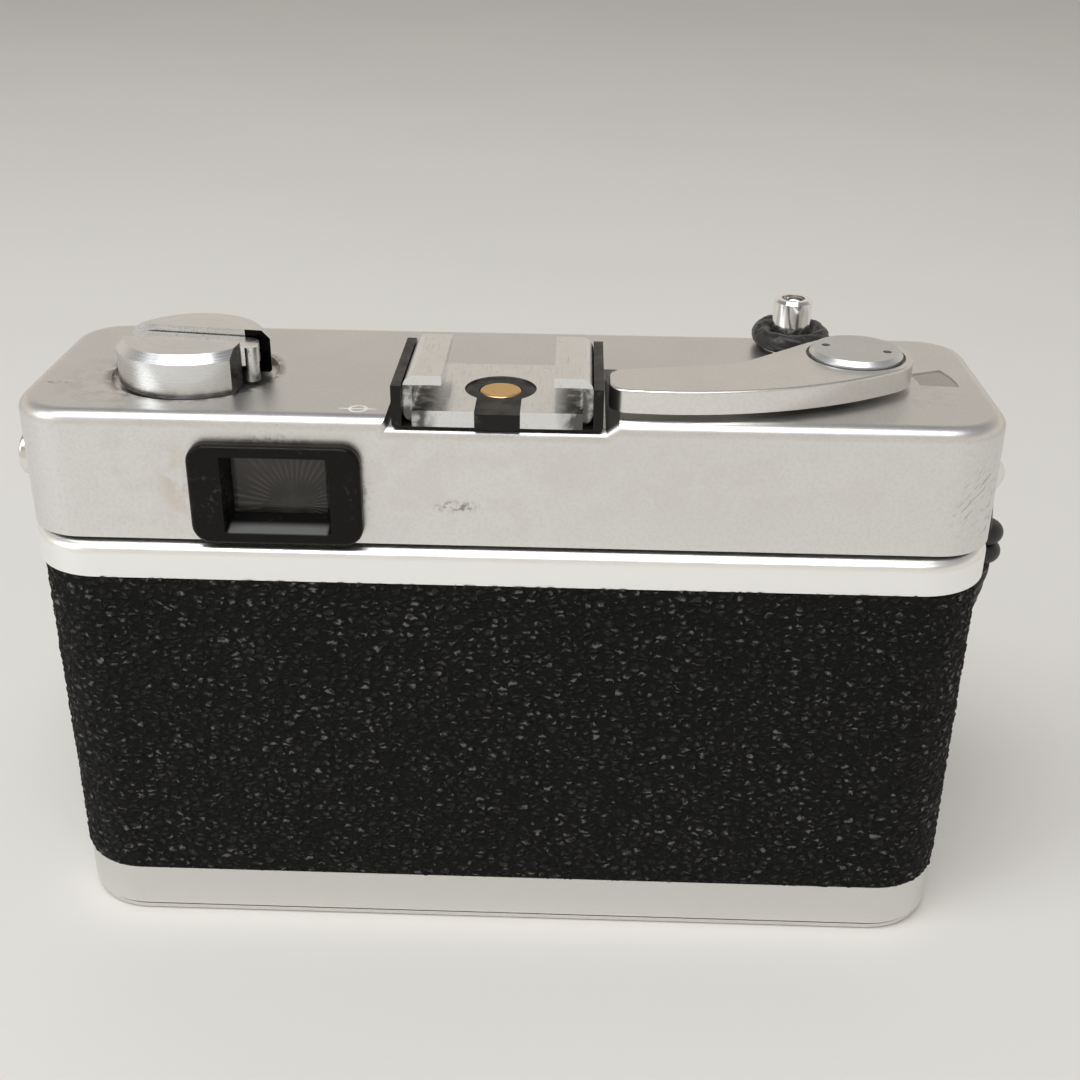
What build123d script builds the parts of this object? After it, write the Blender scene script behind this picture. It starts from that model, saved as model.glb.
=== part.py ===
from build123d import *
import os
from math import cos, hypot, radians, sin, sqrt, tan

# A half frame 35 mm camera. Millimetres, +Z up, lens towards -Y, photographer on the +Y side.
# The origin is the mouth of the tripod socket, in the middle of the base.
os.makedirs("parts", exist_ok=True)

# ---- Driving dimensions -------------------------------------------------------------------
COVER_HALF = 57.0          # half the width of the top cover
COVER_REAR = 16.45         # rear face of the cover; the front face is as far the other way
TOP_Z = 69.7               # top plate
SEAM_Z = 54.2              # joint between the cover and the body
COVER_WALL = 1.0
CORNER_REAR = 7.35
CORNER_FRONT = 6.0
TOP_EDGE = 1.6             # rounding along the edge of the top plate

BODY_HALF = 56.35          # lower body, a little narrower than the cover
BAND_HALF = 57.0           # bright band along the top of the body, flush with the cover
BODY_FRONT = -15.9
DOOR_SPLIT = 3.0           # rear edge of the front shell, where the door begins
DOOR_REAR = 17.95          # rear face of the door's bright bands
DOOR_CORNER = 9.0
DOOR_GAP = 0.3
SKIN = 0.65                # thickness of the leatherette
SKIN_RECESS = 0.5
SKIN_LOW = 7.1
SKIN_HIGH = 49.75
BASE_THICK = 0.8

LENS_Z = 28.5              # height of the lens axis
FILM_Y = 11.6              # plane of the film rails
GATE_WIDE = 18.0           # half frame picture, upright
GATE_HIGH = 24.0
CHAMBER_LOW = 3.6
CHAMBER_HIGH = 51.2

KNOB_X = 38.1              # rewind knob, over the cartridge chamber
KNOB_Y = 2.2
KNOB_R = 9.0
KNOB_TOP = TOP_Z + 4.8
KNOB_LOW = TOP_Z - 0.4
KNOB_TURN = -7.0           # the crank lies a little off the long axis
LEVER_X = -40.8            # wind lever, over the take-up chamber
LEVER_Y = 1.2
HUB_R = 6.7
BLADE_LOW = TOP_Z + 0.75
BLADE_HIGH = TOP_Z + 3.45
BUTTON_X = -34.9
BUTTON_Y = -12.2
BUTTON_R = 2.4
BUTTON_TOP = TOP_Z + 6.3
BUTTON_STROKE = 1.8

HINGE_X = -57.3
HINGE_Y = 2.6
HINGE_R = 1.3
HINGE_PIN_R = 0.6
END_KNUCKLES = ((5.5, 15.0), (36.6, 47.5))
MIDDLE_KNUCKLE = (15.3, 36.3)

SHOE_X = 1.0               # centre of the accessory shoe
SHOE_GAP = 12.5            # between the lips, as ISO 518 has it
SHOE_REAR = 17.0
SHOE_FRONT = 0.2
SHOE_SHEET = 1.1           # lips and walls; the floor is thicker
SHOE_FLOOR = 1.9

EYE_X = 26.2
EYE_Z = 60.45

RUN = 0.05                 # radial clearance of a running fit
APART = 0.3                # gap between pieces that move past each other

STRAP_D = 2.4
HITCH_X = -60.9
HITCH_Y = -4.6


def save(part, name):
    """Label a finished piece and write its STEP file."""
    part.label = name
    export_step(part, f"parts/{name}.step")


def facing_front(y):
    """Plane across the camera at y; its sketch has x to +X and y to +Z, and extrudes forwards."""
    return Plane(origin=(0, y, 0), x_dir=(1, 0, 0), z_dir=(0, -1, 0))


def facing_right(x):
    """Plane along the camera at x; its sketch has x to +Y and y to +Z, and extrudes towards +X."""
    return Plane(origin=(x, 0, 0), x_dir=(0, 1, 0), z_dir=(1, 0, 0))


def level(z):
    return Plane.XY.offset(z)


def rounded_plan(sketch, half, front, rear, front_r, rear_r):
    """Rounded oblong seen from above, drawn in the open sketch."""
    with Locations((0, (front + rear) / 2)):
        Rectangle(2 * half, rear - front)
    if front_r:
        fillet(sketch.vertices().group_by(Axis.Y)[0], front_r)
    if rear_r:
        fillet(sketch.vertices().group_by(Axis.Y)[-1], rear_r)


def block(x, y, z, mode=Mode.ADD):
    """Box given by its (low, high) along each axis."""
    with Locations((sum(x) / 2, sum(y) / 2, sum(z) / 2)):
        Box(x[1] - x[0], y[1] - y[0], z[1] - z[0], mode=mode)


def post(x, y, low, high, r, mode=Mode.ADD):
    """Upright cylinder from low to high."""
    with Locations((x, y, (low + high) / 2)):
        Cylinder(r, high - low, mode=mode)


def drum(x, z, rear, front, r, mode=Mode.ADD):
    """Cylinder along the lens direction, from its rear face to its front face."""
    with Locations((x, (rear + front) / 2, z)):
        Cylinder(r, abs(rear - front), rotation=(90, 0, 0), mode=mode)


def stud(y, z, low, high, r, mode=Mode.ADD):
    """Cylinder along X, from low to high."""
    with Locations(((low + high) / 2, y, z)):
        Cylinder(r, high - low, rotation=(0, 90, 0), mode=mode)


# ---- Top cover ----------------------------------------------------------------------------
SHOE_BED = 1.1             # depth of the shallow bed under the shoe
BED_Z = TOP_Z - SHOE_BED
BED_LOW_X = -13.1
BED_HIGH_X = 13.6
BED_RAMP = 2.0             # the ramp is steep on the other side, beside the shoe
BED_STEEP = 0.4
BED_FRONT = -1.6
BED_EDGE = 1.4             # rounding where the bed runs out over the rear edge
CUP_R = 9.9
CUP_DEEP = 0.7
CUP_WALL = 1.0
WINDOW_IN_R = 7.9          # frame counter window, a sector about the lever's axis
WINDOW_OUT_R = 12.5
WINDOW_START = 175.5
WINDOW_END = 204.0
LEVER_HOLE_R = 3.3


def about_lever(r, angle):
    """Point at a radius and angle about the lever's axis."""
    return (LEVER_X + r * cos(radians(angle)), LEVER_Y + r * sin(radians(angle)))


WINDOW_MIDDLE = (WINDOW_START + WINDOW_END) / 2
with BuildSketch() as counter_shape:
    with BuildLine():
        ThreePointArc(about_lever(WINDOW_IN_R, WINDOW_START), about_lever(WINDOW_IN_R, WINDOW_MIDDLE),
                      about_lever(WINDOW_IN_R, WINDOW_END))
        Line(about_lever(WINDOW_IN_R, WINDOW_END), about_lever(WINDOW_OUT_R, WINDOW_END))
        ThreePointArc(about_lever(WINDOW_OUT_R, WINDOW_END), about_lever(WINDOW_OUT_R, WINDOW_MIDDLE),
                      about_lever(WINDOW_OUT_R, WINDOW_START))
        Line(about_lever(WINDOW_OUT_R, WINDOW_START), about_lever(WINDOW_IN_R, WINDOW_START))
    make_face()

with BuildPart() as top_cover:
    with BuildSketch(level(SEAM_Z)) as cover_outline:
        rounded_plan(cover_outline, COVER_HALF, -COVER_REAR, COVER_REAR, CORNER_FRONT, CORNER_REAR)
    extrude(amount=TOP_Z - SEAM_Z)
    fillet(top_cover.faces().sort_by(Axis.Z)[-1].edges(), TOP_EDGE)
    with BuildSketch(level(SEAM_Z)) as cover_inside:
        rounded_plan(cover_inside, COVER_HALF - COVER_WALL, COVER_WALL - COVER_REAR,
                     COVER_REAR - COVER_WALL, CORNER_FRONT - COVER_WALL, CORNER_REAR - COVER_WALL)
    extrude(amount=TOP_Z - SEAM_Z - COVER_WALL, mode=Mode.SUBTRACT)
    # Metal under the shoe bed, then the bed itself, open at the rear edge with a ramp each side.
    block((BED_LOW_X - 1, BED_HIGH_X + 1), (BED_FRONT - 1, COVER_REAR - 0.5), (TOP_Z - 2.4, TOP_Z - 0.9))
    with BuildSketch(facing_front(COVER_REAR + 1)):
        with BuildLine():
            Polyline((BED_LOW_X, TOP_Z + 0.3), (BED_LOW_X + BED_RAMP, BED_Z),
                     (BED_HIGH_X - BED_STEEP, BED_Z), (BED_HIGH_X, TOP_Z + 0.3), close=True)
        make_face()
    extrude(amount=COVER_REAR + 1 - BED_FRONT, mode=Mode.SUBTRACT)
    with BuildLine():
        Polyline((BED_LOW_X, COVER_REAR, TOP_Z + 0.3), (BED_LOW_X + BED_RAMP, COVER_REAR, BED_Z),
                 (BED_HIGH_X - BED_STEEP, COVER_REAR, BED_Z), (BED_HIGH_X, COVER_REAR, TOP_Z + 0.3))
    with BuildSketch(facing_right(SHOE_X)) as bed_corner:
        with Locations((COVER_REAR - BED_EDGE / 2 + 0.1, BED_Z - BED_EDGE / 2 + 0.1)):
            Rectangle(BED_EDGE + 0.2, BED_EDGE + 0.2)
        with Locations((COVER_REAR - BED_EDGE, BED_Z - BED_EDGE)):
            Circle(BED_EDGE, mode=Mode.SUBTRACT)
    sweep(transition=Transition.RIGHT, mode=Mode.SUBTRACT)
    # Cup that the rewind knob sits in.
    post(KNOB_X, KNOB_Y, TOP_Z - CUP_DEEP - 0.8, TOP_Z - 0.5, CUP_R + CUP_WALL)
    post(KNOB_X, KNOB_Y, TOP_Z - CUP_DEEP, TOP_Z + 1, CUP_R, Mode.SUBTRACT)
    post(KNOB_X, KNOB_Y, TOP_Z - CUP_DEEP - 2, TOP_Z, 3.3, Mode.SUBTRACT)
    # Holes for the wind shaft, the release and the frame counter.
    post(LEVER_X, LEVER_Y, TOP_Z - 2, TOP_Z + 1, LEVER_HOLE_R, Mode.SUBTRACT)
    post(BUTTON_X, BUTTON_Y, TOP_Z - 2, TOP_Z + 1, 3.6, Mode.SUBTRACT)
    extrude(counter_shape.sketch.moved(Location((0, 0, TOP_Z - 2))), amount=3, mode=Mode.SUBTRACT)
    # Eyepiece at the back, finder and frame-line windows at the front.
    block((17.6, 34.0), (13, 17), (55.8, 65.6), Mode.SUBTRACT)
    block((18.8, 32.8), (-17, -13), (56.9, 65.3), Mode.SUBTRACT)
    block((4.0, 14.0), (-17, -13), (57.4, 64.8), Mode.SUBTRACT)
    stud(6.2, 60.4, 55, 58, 2.0, Mode.SUBTRACT)
    stud(HITCH_Y, 56.9, -58, -55, 1.2, Mode.SUBTRACT)
save(top_cover.part, "top_cover")

with BuildPart() as counter_window:
    extrude(counter_shape.sketch.moved(Location((0, 0, TOP_Z - COVER_WALL))), amount=COVER_WALL - 0.15)
save(counter_window.part, "counter_window")

# ---- Eyepiece and finder ------------------------------------------------------------------
EYE_WIDE = 19.75
EYE_HIGH = 12.2
EYE_FACE = COVER_REAR + 1.5
GLASS_Y = 14.6             # rear face of the eyepiece glass

with BuildPart() as eyepiece_frame:
    with BuildSketch(facing_front(EYE_FACE)) as eye_outline:
        with Locations((EYE_X, EYE_Z)):
            RectangleRounded(EYE_WIDE, EYE_HIGH, 2.2)
    extrude(amount=EYE_FACE - COVER_REAR)
    fillet(eyepiece_frame.faces().sort_by(Axis.Y)[-1].edges(), 0.6)
    block((17.8, 33.8), (13.4, COVER_REAR), (56.0, 65.4))
    # Funnel from the wide mouth down to the glass, lower and further left at the back.
    with BuildSketch(facing_front(EYE_FACE)):
        with Locations((26.05, 60.6)):
            Rectangle(12.3, 9.2)
    with BuildSketch(facing_front(GLASS_Y)):
        with Locations((26.3, 60.8)):
            Rectangle(10.95, 7.8)
    loft(mode=Mode.SUBTRACT)
    block((20.8, 31.7), (13.0, GLASS_Y), (56.9, 64.7), Mode.SUBTRACT)
save(eyepiece_frame.part, "eyepiece_frame")

with BuildPart() as eyepiece_lens:
    block((20.8, 31.7), (13.4, GLASS_Y - 0.2), (56.9, 64.7))
save(eyepiece_lens.part, "eyepiece_lens")

with BuildPart() as finder_tube:
    block((18.4, 33.2), (-13.4, 13.0), (56.2, 65.6))
    block((19.4, 32.2), (-14.0, 14.0), (57.2, 64.6), Mode.SUBTRACT)
save(finder_tube.part, "finder_tube")

with BuildPart() as window_bezel:
    with BuildSketch(facing_front(-COVER_REAR)):
        with Locations((19.0, 61.1)):
            RectangleRounded(33.0, 11.0, 1.6)
        with Locations((25.8, 61.1)):
            RectangleRounded(14.0, 8.4, 0.8, mode=Mode.SUBTRACT)
        with Locations((9.0, 61.1)):
            RectangleRounded(10.0, 7.4, 0.8, mode=Mode.SUBTRACT)
    extrude(amount=0.9)
save(window_bezel.part, "window_bezel")

with BuildPart() as finder_window:
    block((18.8, 32.8), (-COVER_REAR, -15.5), (56.9, 65.3))
save(finder_window.part, "finder_window")

with BuildPart() as frameline_window:
    block((4.0, 14.0), (-COVER_REAR, -15.5), (57.4, 64.8))
    # Ribs that scatter the light, as on a frosted window.
    with Locations((9.0, -COVER_REAR - 0.2, 61.1)):
        with GridLocations(1.25, 1.0, 8, 1):
            Box(0.6, 0.4, 6.6)
save(frameline_window.part, "frameline_window")

# ---- Accessory shoe -----------------------------------------------------------------------
SHOE_HALF = 10.65          # to the outside of the metal
SHOE_HIGH = 5.75           # from the bed to the top of the lips
KEY_R = 4.1                # insulating disc round the contact
KEY_Y = 8.6
KEY_HALF = 2.55
PLASTIC_FLOOR = 0.2
KEY_TOP = BED_Z + 1.85
EAR_HIGH = 4.9             # black plastic beside the metal


with BuildPart() as accessory_shoe:
    with BuildSketch(facing_front(SHOE_REAR - 1.9)):
        # C-shaped section of the bent sheet.
        with Locations((SHOE_X, BED_Z + (PLASTIC_FLOOR + SHOE_HIGH) / 2)):
            RectangleRounded(2 * SHOE_HALF, SHOE_HIGH - PLASTIC_FLOOR, 1.5)
        with Locations((SHOE_X, BED_Z + (PLASTIC_FLOOR + SHOE_FLOOR + SHOE_HIGH - SHOE_SHEET) / 2)):
            RectangleRounded(2 * (SHOE_HALF - SHOE_SHEET),
                             SHOE_HIGH - PLASTIC_FLOOR - SHOE_SHEET - SHOE_FLOOR, 0.5, mode=Mode.SUBTRACT)
        with Locations((SHOE_X, BED_Z + SHOE_HIGH)):
            Rectangle(SHOE_GAP, 3 * SHOE_SHEET, mode=Mode.SUBTRACT)
    extrude(amount=SHOE_REAR - 1.9 - SHOE_FRONT)
    # The floor runs further back than the rails, to the rear edge of the plate.
    block((SHOE_X - SHOE_HALF + 1.15, SHOE_X + SHOE_HALF - 1.15), (SHOE_REAR - 2.2, SHOE_REAR - 0.7),
          (BED_Z + PLASTIC_FLOOR, BED_Z + PLASTIC_FLOOR + SHOE_FLOOR))
    post(SHOE_X, KEY_Y, BED_Z, BED_Z + 3, KEY_R + 0.05, Mode.SUBTRACT)
    block((SHOE_X - KEY_HALF, SHOE_X + KEY_HALF), (KEY_Y, 20), (BED_Z, BED_Z + 3), Mode.SUBTRACT)
save(accessory_shoe.part, "accessory_shoe")

with BuildPart() as shoe_base:
    block((SHOE_X - 11.8, SHOE_X + 11.8), (SHOE_FRONT - 1.0, SHOE_REAR - 0.75), (BED_Z, BED_Z + EAR_HIGH))
    fillet(shoe_base.edges().filter_by(Axis.Y).group_by(Axis.Z)[0], 0.5)
    # Room for the metal channel, then the key-shaped island that shows through its floor.
    block((SHOE_X - SHOE_HALF - 0.02, SHOE_X + SHOE_HALF + 0.02), (-10, 20),
          (BED_Z + PLASTIC_FLOOR, BED_Z + 7), Mode.SUBTRACT)
    post(SHOE_X, KEY_Y, BED_Z + PLASTIC_FLOOR, KEY_TOP, KEY_R)
    block((SHOE_X - KEY_HALF + 0.02, SHOE_X + KEY_HALF - 0.02), (KEY_Y, SHOE_REAR - 0.5),
          (BED_Z + PLASTIC_FLOOR, KEY_TOP))
    block((SHOE_X - KEY_HALF + 0.02, SHOE_X + KEY_HALF - 0.02), (SHOE_REAR - 0.8, SHOE_REAR - 0.5),
          (BED_Z, KEY_TOP))
    post(SHOE_X, KEY_Y, BED_Z - 1, BED_Z + 3, 2.5, Mode.SUBTRACT)
save(shoe_base.part, "shoe_base")

with BuildPart() as shoe_contact:
    post(SHOE_X, KEY_Y, BED_Z, KEY_TOP + 0.1, 2.45)
    fillet(shoe_contact.faces().sort_by(Axis.Z)[-1].edges(), 0.3)
save(shoe_contact.part, "shoe_contact")

# ---- Rewind knob, crank and shaft -----------------------------------------------------------
CHANNEL = 4.9              # width of the channel that the crank folds into
CHANNEL_FLOOR = TOP_Z + 1.6
CRANK_PIVOT = 6.2          # from the knob's axis
NOTCH_X = -6.7             # the rim is cut away here, on the near side of the grip
CRANK_Z = TOP_Z + 2.9
CRANK_HALF = 1.1
CRANK_WIDE = 4.3
CRANK_PIN_R = 0.5
knob_frame = Plane(origin=(KNOB_X, KNOB_Y, 0), z_dir=(0, 0, 1),
                   x_dir=(cos(radians(KNOB_TURN)), sin(radians(KNOB_TURN)), 0))


def knob_block(x, y, z, mode=Mode.ADD):
    """Box in the knob's own frame, x along the crank away from its grip."""
    with Locations(knob_frame.location):
        with Locations((sum(x) / 2, sum(y) / 2, sum(z) / 2)):
            Box(x[1] - x[0], y[1] - y[0], z[1] - z[0], mode=mode)


with BuildPart() as rewind_knob:
    post(KNOB_X, KNOB_Y, KNOB_LOW, KNOB_TOP, KNOB_R)
    chamfer(rewind_knob.faces().sort_by(Axis.Z)[-1].edges(), 0.95)
    chamfer(rewind_knob.faces().sort_by(Axis.Z)[0].edges(), 0.3)
    knob_block((-10, 10), (-CHANNEL / 2, CHANNEL / 2), (CHANNEL_FLOOR, KNOB_TOP + 1), Mode.SUBTRACT)
    # Notch through the rim, so that a finger can lift the grip.
    knob_block((-10, -5.6), (-CHANNEL / 2, CHANNEL / 2), (TOP_Z - 3, KNOB_TOP + 1), Mode.SUBTRACT)
    knob_block((-10, NOTCH_X), (-CHANNEL / 2, 8), (TOP_Z - 3, KNOB_TOP + 1), Mode.SUBTRACT)
    with Locations(knob_frame.location):
        with Locations((CRANK_PIVOT, 0, CRANK_Z)):
            Cylinder(CRANK_PIN_R, CHANNEL + 1, rotation=(90, 0, 0))
save(rewind_knob.part, "rewind_knob")

with BuildPart() as rewind_crank:
    knob_block((-5.9, CRANK_PIVOT), (-CRANK_WIDE / 2, CRANK_WIDE / 2),
               (CRANK_Z - CRANK_HALF, CRANK_Z + CRANK_HALF))
    with Locations(knob_frame.location):
        with Locations((CRANK_PIVOT, 0, CRANK_Z)):
            Cylinder(CRANK_HALF, CRANK_WIDE, rotation=(90, 0, 0))
            Cylinder(CRANK_PIN_R + RUN, CRANK_WIDE + 1, rotation=(90, 0, 0), mode=Mode.SUBTRACT)
        with Locations((-5.9, 0, CRANK_Z)):
            Cylinder(CRANK_WIDE / 2, 2 * CRANK_HALF)
        # Grip that hangs in the rim's notch.
        with Locations((-7.3, 0.9, TOP_Z + 1.9)):
            Cylinder(1.0, 4.2)
save(rewind_crank.part, "rewind_crank")

SHAFT_R = 2.0
with BuildPart() as rewind_shaft:
    post(KNOB_X, KNOB_Y, 48.8, KNOB_LOW, SHAFT_R)
    post(KNOB_X, KNOB_Y, 56.0, 56.7, 3.0)
    post(KNOB_X, KNOB_Y, 59.0, 59.5, 3.0)
    # Fork that turns the cartridge's hub.
    block((KNOB_X - 2.8, KNOB_X + 2.8), (KNOB_Y - 0.6, KNOB_Y + 0.6), (46.4, 50.4))
    block((KNOB_X - 1.2, KNOB_X + 1.2), (KNOB_Y - 1, KNOB_Y + 1), (46.0, 48.4), Mode.SUBTRACT)
save(rewind_shaft.part, "rewind_shaft")

with BuildPart() as latch_collar:
    post(KNOB_X, KNOB_Y, 57.0, 58.7, 4.2)
    block((KNOB_X, 50.8), (KNOB_Y - 1.5, KNOB_Y + 1.5), (57.0, 58.7))
    post(KNOB_X, KNOB_Y, 56.0, 60.0, SHAFT_R + RUN, Mode.SUBTRACT)
save(latch_collar.part, "latch_collar")

with BuildPart() as door_latch:
    block((52.6, 53.4), (5.0, 9.0), (22.0, 47.0))
    block((53.3, 54.0), (5.0, 7.0), (31.2, 34.0))
save(door_latch.part, "door_latch")

# ---- Wind lever, counter and release --------------------------------------------------------
NEAR_ARC_X = -18.2         # centre of the long arc along the lever's rear edge
NEAR_ARC_Y = -29.8
HUB_TO_ARC = hypot(LEVER_X - NEAR_ARC_X, LEVER_Y - NEAR_ARC_Y)
NEAR_ARC_R = HUB_TO_ARC + HUB_R                 # so that the arc runs smoothly into the hub
HUB_TOUCH_X = LEVER_X + HUB_R * (LEVER_X - NEAR_ARC_X) / HUB_TO_ARC
LEVER_TIP_X = -11.4
SCREW_R = 5.5


def near_edge(x):
    """Point on the lever's rear edge."""
    return (x, NEAR_ARC_Y + sqrt(NEAR_ARC_R ** 2 - (x - NEAR_ARC_X) ** 2))


with BuildPart() as wind_lever:
    with BuildSketch(level(BLADE_LOW)) as blade:
        with BuildLine():
            ThreePointArc(near_edge(HUB_TOUCH_X), near_edge(-28.0), near_edge(LEVER_TIP_X))
            Polyline(near_edge(LEVER_TIP_X), (LEVER_TIP_X, 8.3), (-26.6, 5.0), (-36.0, -3.6),
                     near_edge(HUB_TOUCH_X))
        make_face()
        fillet(blade.vertices().sort_by(Axis.X)[-2:].sort_by(Axis.Y)[-1], 2.4)
        fillet(blade.vertices().sort_by_distance((LEVER_TIP_X, 8.3, BLADE_LOW))[0], 2.2)
        fillet(blade.vertices().sort_by_distance((-26.6, 5.0, BLADE_LOW))[0], 7.0)
        with Locations((LEVER_X, LEVER_Y)):
            Circle(HUB_R)
    extrude(amount=BLADE_HIGH - BLADE_LOW)
    fillet(wind_lever.faces().sort_by(Axis.Z)[-1].edges(), 0.3)
    # Recess for the retaining screw.
    post(LEVER_X, LEVER_Y, BLADE_HIGH - 1.2, BLADE_HIGH + 1, SCREW_R + 0.35, Mode.SUBTRACT)
save(wind_lever.part, "wind_lever")

with BuildPart() as lever_screw:
    post(LEVER_X, LEVER_Y, BLADE_HIGH - 1.2, TOP_Z + 4.25, SCREW_R)
    chamfer(lever_screw.faces().sort_by(Axis.Z)[-1].edges(), 0.5)
    # Two holes for a pin spanner.
    for side in (-1, 1):
        post(LEVER_X + side * 3.45, LEVER_Y - side * 1.1, TOP_Z + 3.0, TOP_Z + 5, 0.5, Mode.SUBTRACT)
save(lever_screw.part, "lever_screw")

RATCHET_TEETH = 16
with BuildPart() as wind_shaft:
    post(LEVER_X, LEVER_Y, 55.3, BLADE_LOW, 3.0)
    post(LEVER_X, LEVER_Y, 63.2, 64.0, 4.2)
    # Ratchet wheel cut on the shaft.
    with BuildSketch(level(57.0)):
        with Locations((LEVER_X, LEVER_Y)):
            Circle(6.2)
            with PolarLocations(6.2, RATCHET_TEETH):
                Rectangle(1.6, 1.2)
    extrude(amount=1.4)
save(wind_shaft.part, "wind_shaft")

with BuildPart() as counter_dial:
    post(LEVER_X, LEVER_Y, 61.9, 62.7, 12.4)
    post(LEVER_X, LEVER_Y, 60.9, 61.9, 4.4)
    post(LEVER_X, LEVER_Y, 60.0, 63.0, 3.0 + RUN, Mode.SUBTRACT)
save(counter_dial.part, "counter_dial")

with BuildPart() as release_bush:
    post(BUTTON_X, BUTTON_Y, TOP_Z - 2.0, TOP_Z + 0.05, 3.6)
    post(BUTTON_X, BUTTON_Y, TOP_Z - 3.0, TOP_Z + 1.0, BUTTON_R + RUN, Mode.SUBTRACT)
save(release_bush.part, "release_bush")

CABLE_R = 1.45
CABLE_DEEP = 4.0
with BuildPart() as shutter_button:
    post(BUTTON_X, BUTTON_Y, TOP_Z - 1.2, BUTTON_TOP, BUTTON_R)
    chamfer(shutter_button.faces().sort_by(Axis.Z)[-1].edges(), 0.35)
    post(BUTTON_X, BUTTON_Y, 66.7, TOP_Z - 1.2, 1.0)
    post(BUTTON_X, BUTTON_Y, BUTTON_TOP - CABLE_DEEP, BUTTON_TOP + 1, CABLE_R, Mode.SUBTRACT)
save(shutter_button.part, "shutter_button")

ROCKER_X = -23.0
ROCKER_Z = 65.7
with BuildPart() as release_rocker:
    block((BUTTON_X - 1.2, ROCKER_X), (BUTTON_Y - 1.5, BUTTON_Y + 1.5), (65.5, 66.3))
    block((ROCKER_X - 0.6, ROCKER_X + 0.6), (BUTTON_Y - 1, BUTTON_Y + 1), (57.4, 66.0))
    drum(ROCKER_X, ROCKER_Z, BUTTON_Y + 2.9, BUTTON_Y - 2.9, 0.6)
save(release_rocker.part, "release_rocker")

with BuildPart() as rocker_bracket:
    block((-25.0, -21.0), (BUTTON_Y - 3.1, BUTTON_Y + 3.1), (55.0, 55.8))
    for low in (BUTTON_Y - 3.1, BUTTON_Y + 2.1):
        block((-24.4, -21.6), (low, low + 1.0), (55.8, 67.0))
    drum(ROCKER_X, ROCKER_Z, BUTTON_Y + 4, BUTTON_Y - 4, 0.6 + RUN, Mode.SUBTRACT)
save(rocker_bracket.part, "rocker_bracket")

# ---- Exposure meter ---------------------------------------------------------------------------
METER_X = 5.0
with BuildPart() as meter_movement:
    block((METER_X - 6, METER_X + 6), (-8.0, 4.0), (55.0, 62.0))
    post(METER_X, -2.0, 56.0, 63.0, 3.2, Mode.SUBTRACT)
save(meter_movement.part, "meter_movement")

with BuildPart() as meter_needle:
    post(METER_X, -2.0, 56.4, 63.4, 2.7)
    block((METER_X, METER_X + 11.8), (-2.3, -1.7), (62.8, 63.3))
save(meter_needle.part, "meter_needle")

# ---- Deck, casting and front shell ----------------------------------------------------------
with BuildPart() as top_deck:
    with BuildSketch(level(SEAM_Z)) as deck_outline:
        rounded_plan(deck_outline, COVER_HALF - COVER_WALL - 0.15, COVER_WALL - COVER_REAR + 0.15,
                     COVER_REAR - COVER_WALL - 0.15, CORNER_FRONT - COVER_WALL, CORNER_REAR - COVER_WALL)
        with Locations((KNOB_X, KNOB_Y)):
            Circle(3.3, mode=Mode.SUBTRACT)
    extrude(amount=0.8)
save(top_deck.part, "top_deck")

CAST_HALF = BODY_HALF - 1.0
CAST_FRONT = BODY_FRONT + 1.0
CAST_REAR = 11.0
SHUTTER_R = 20.0
CAVITY_R = 20.4
TAKE_UP_R = 12.2
CARTRIDGE_R = 13.0
SPOOL_POST_R = 2.0
SPROCKET_X = -21.0
SPROCKET_Y = 6.8
BATTERY_X = 17.0
BATTERY_Y = -5.0
BATTERY_R = 7.8
BUSH_R = 5.0

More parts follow.
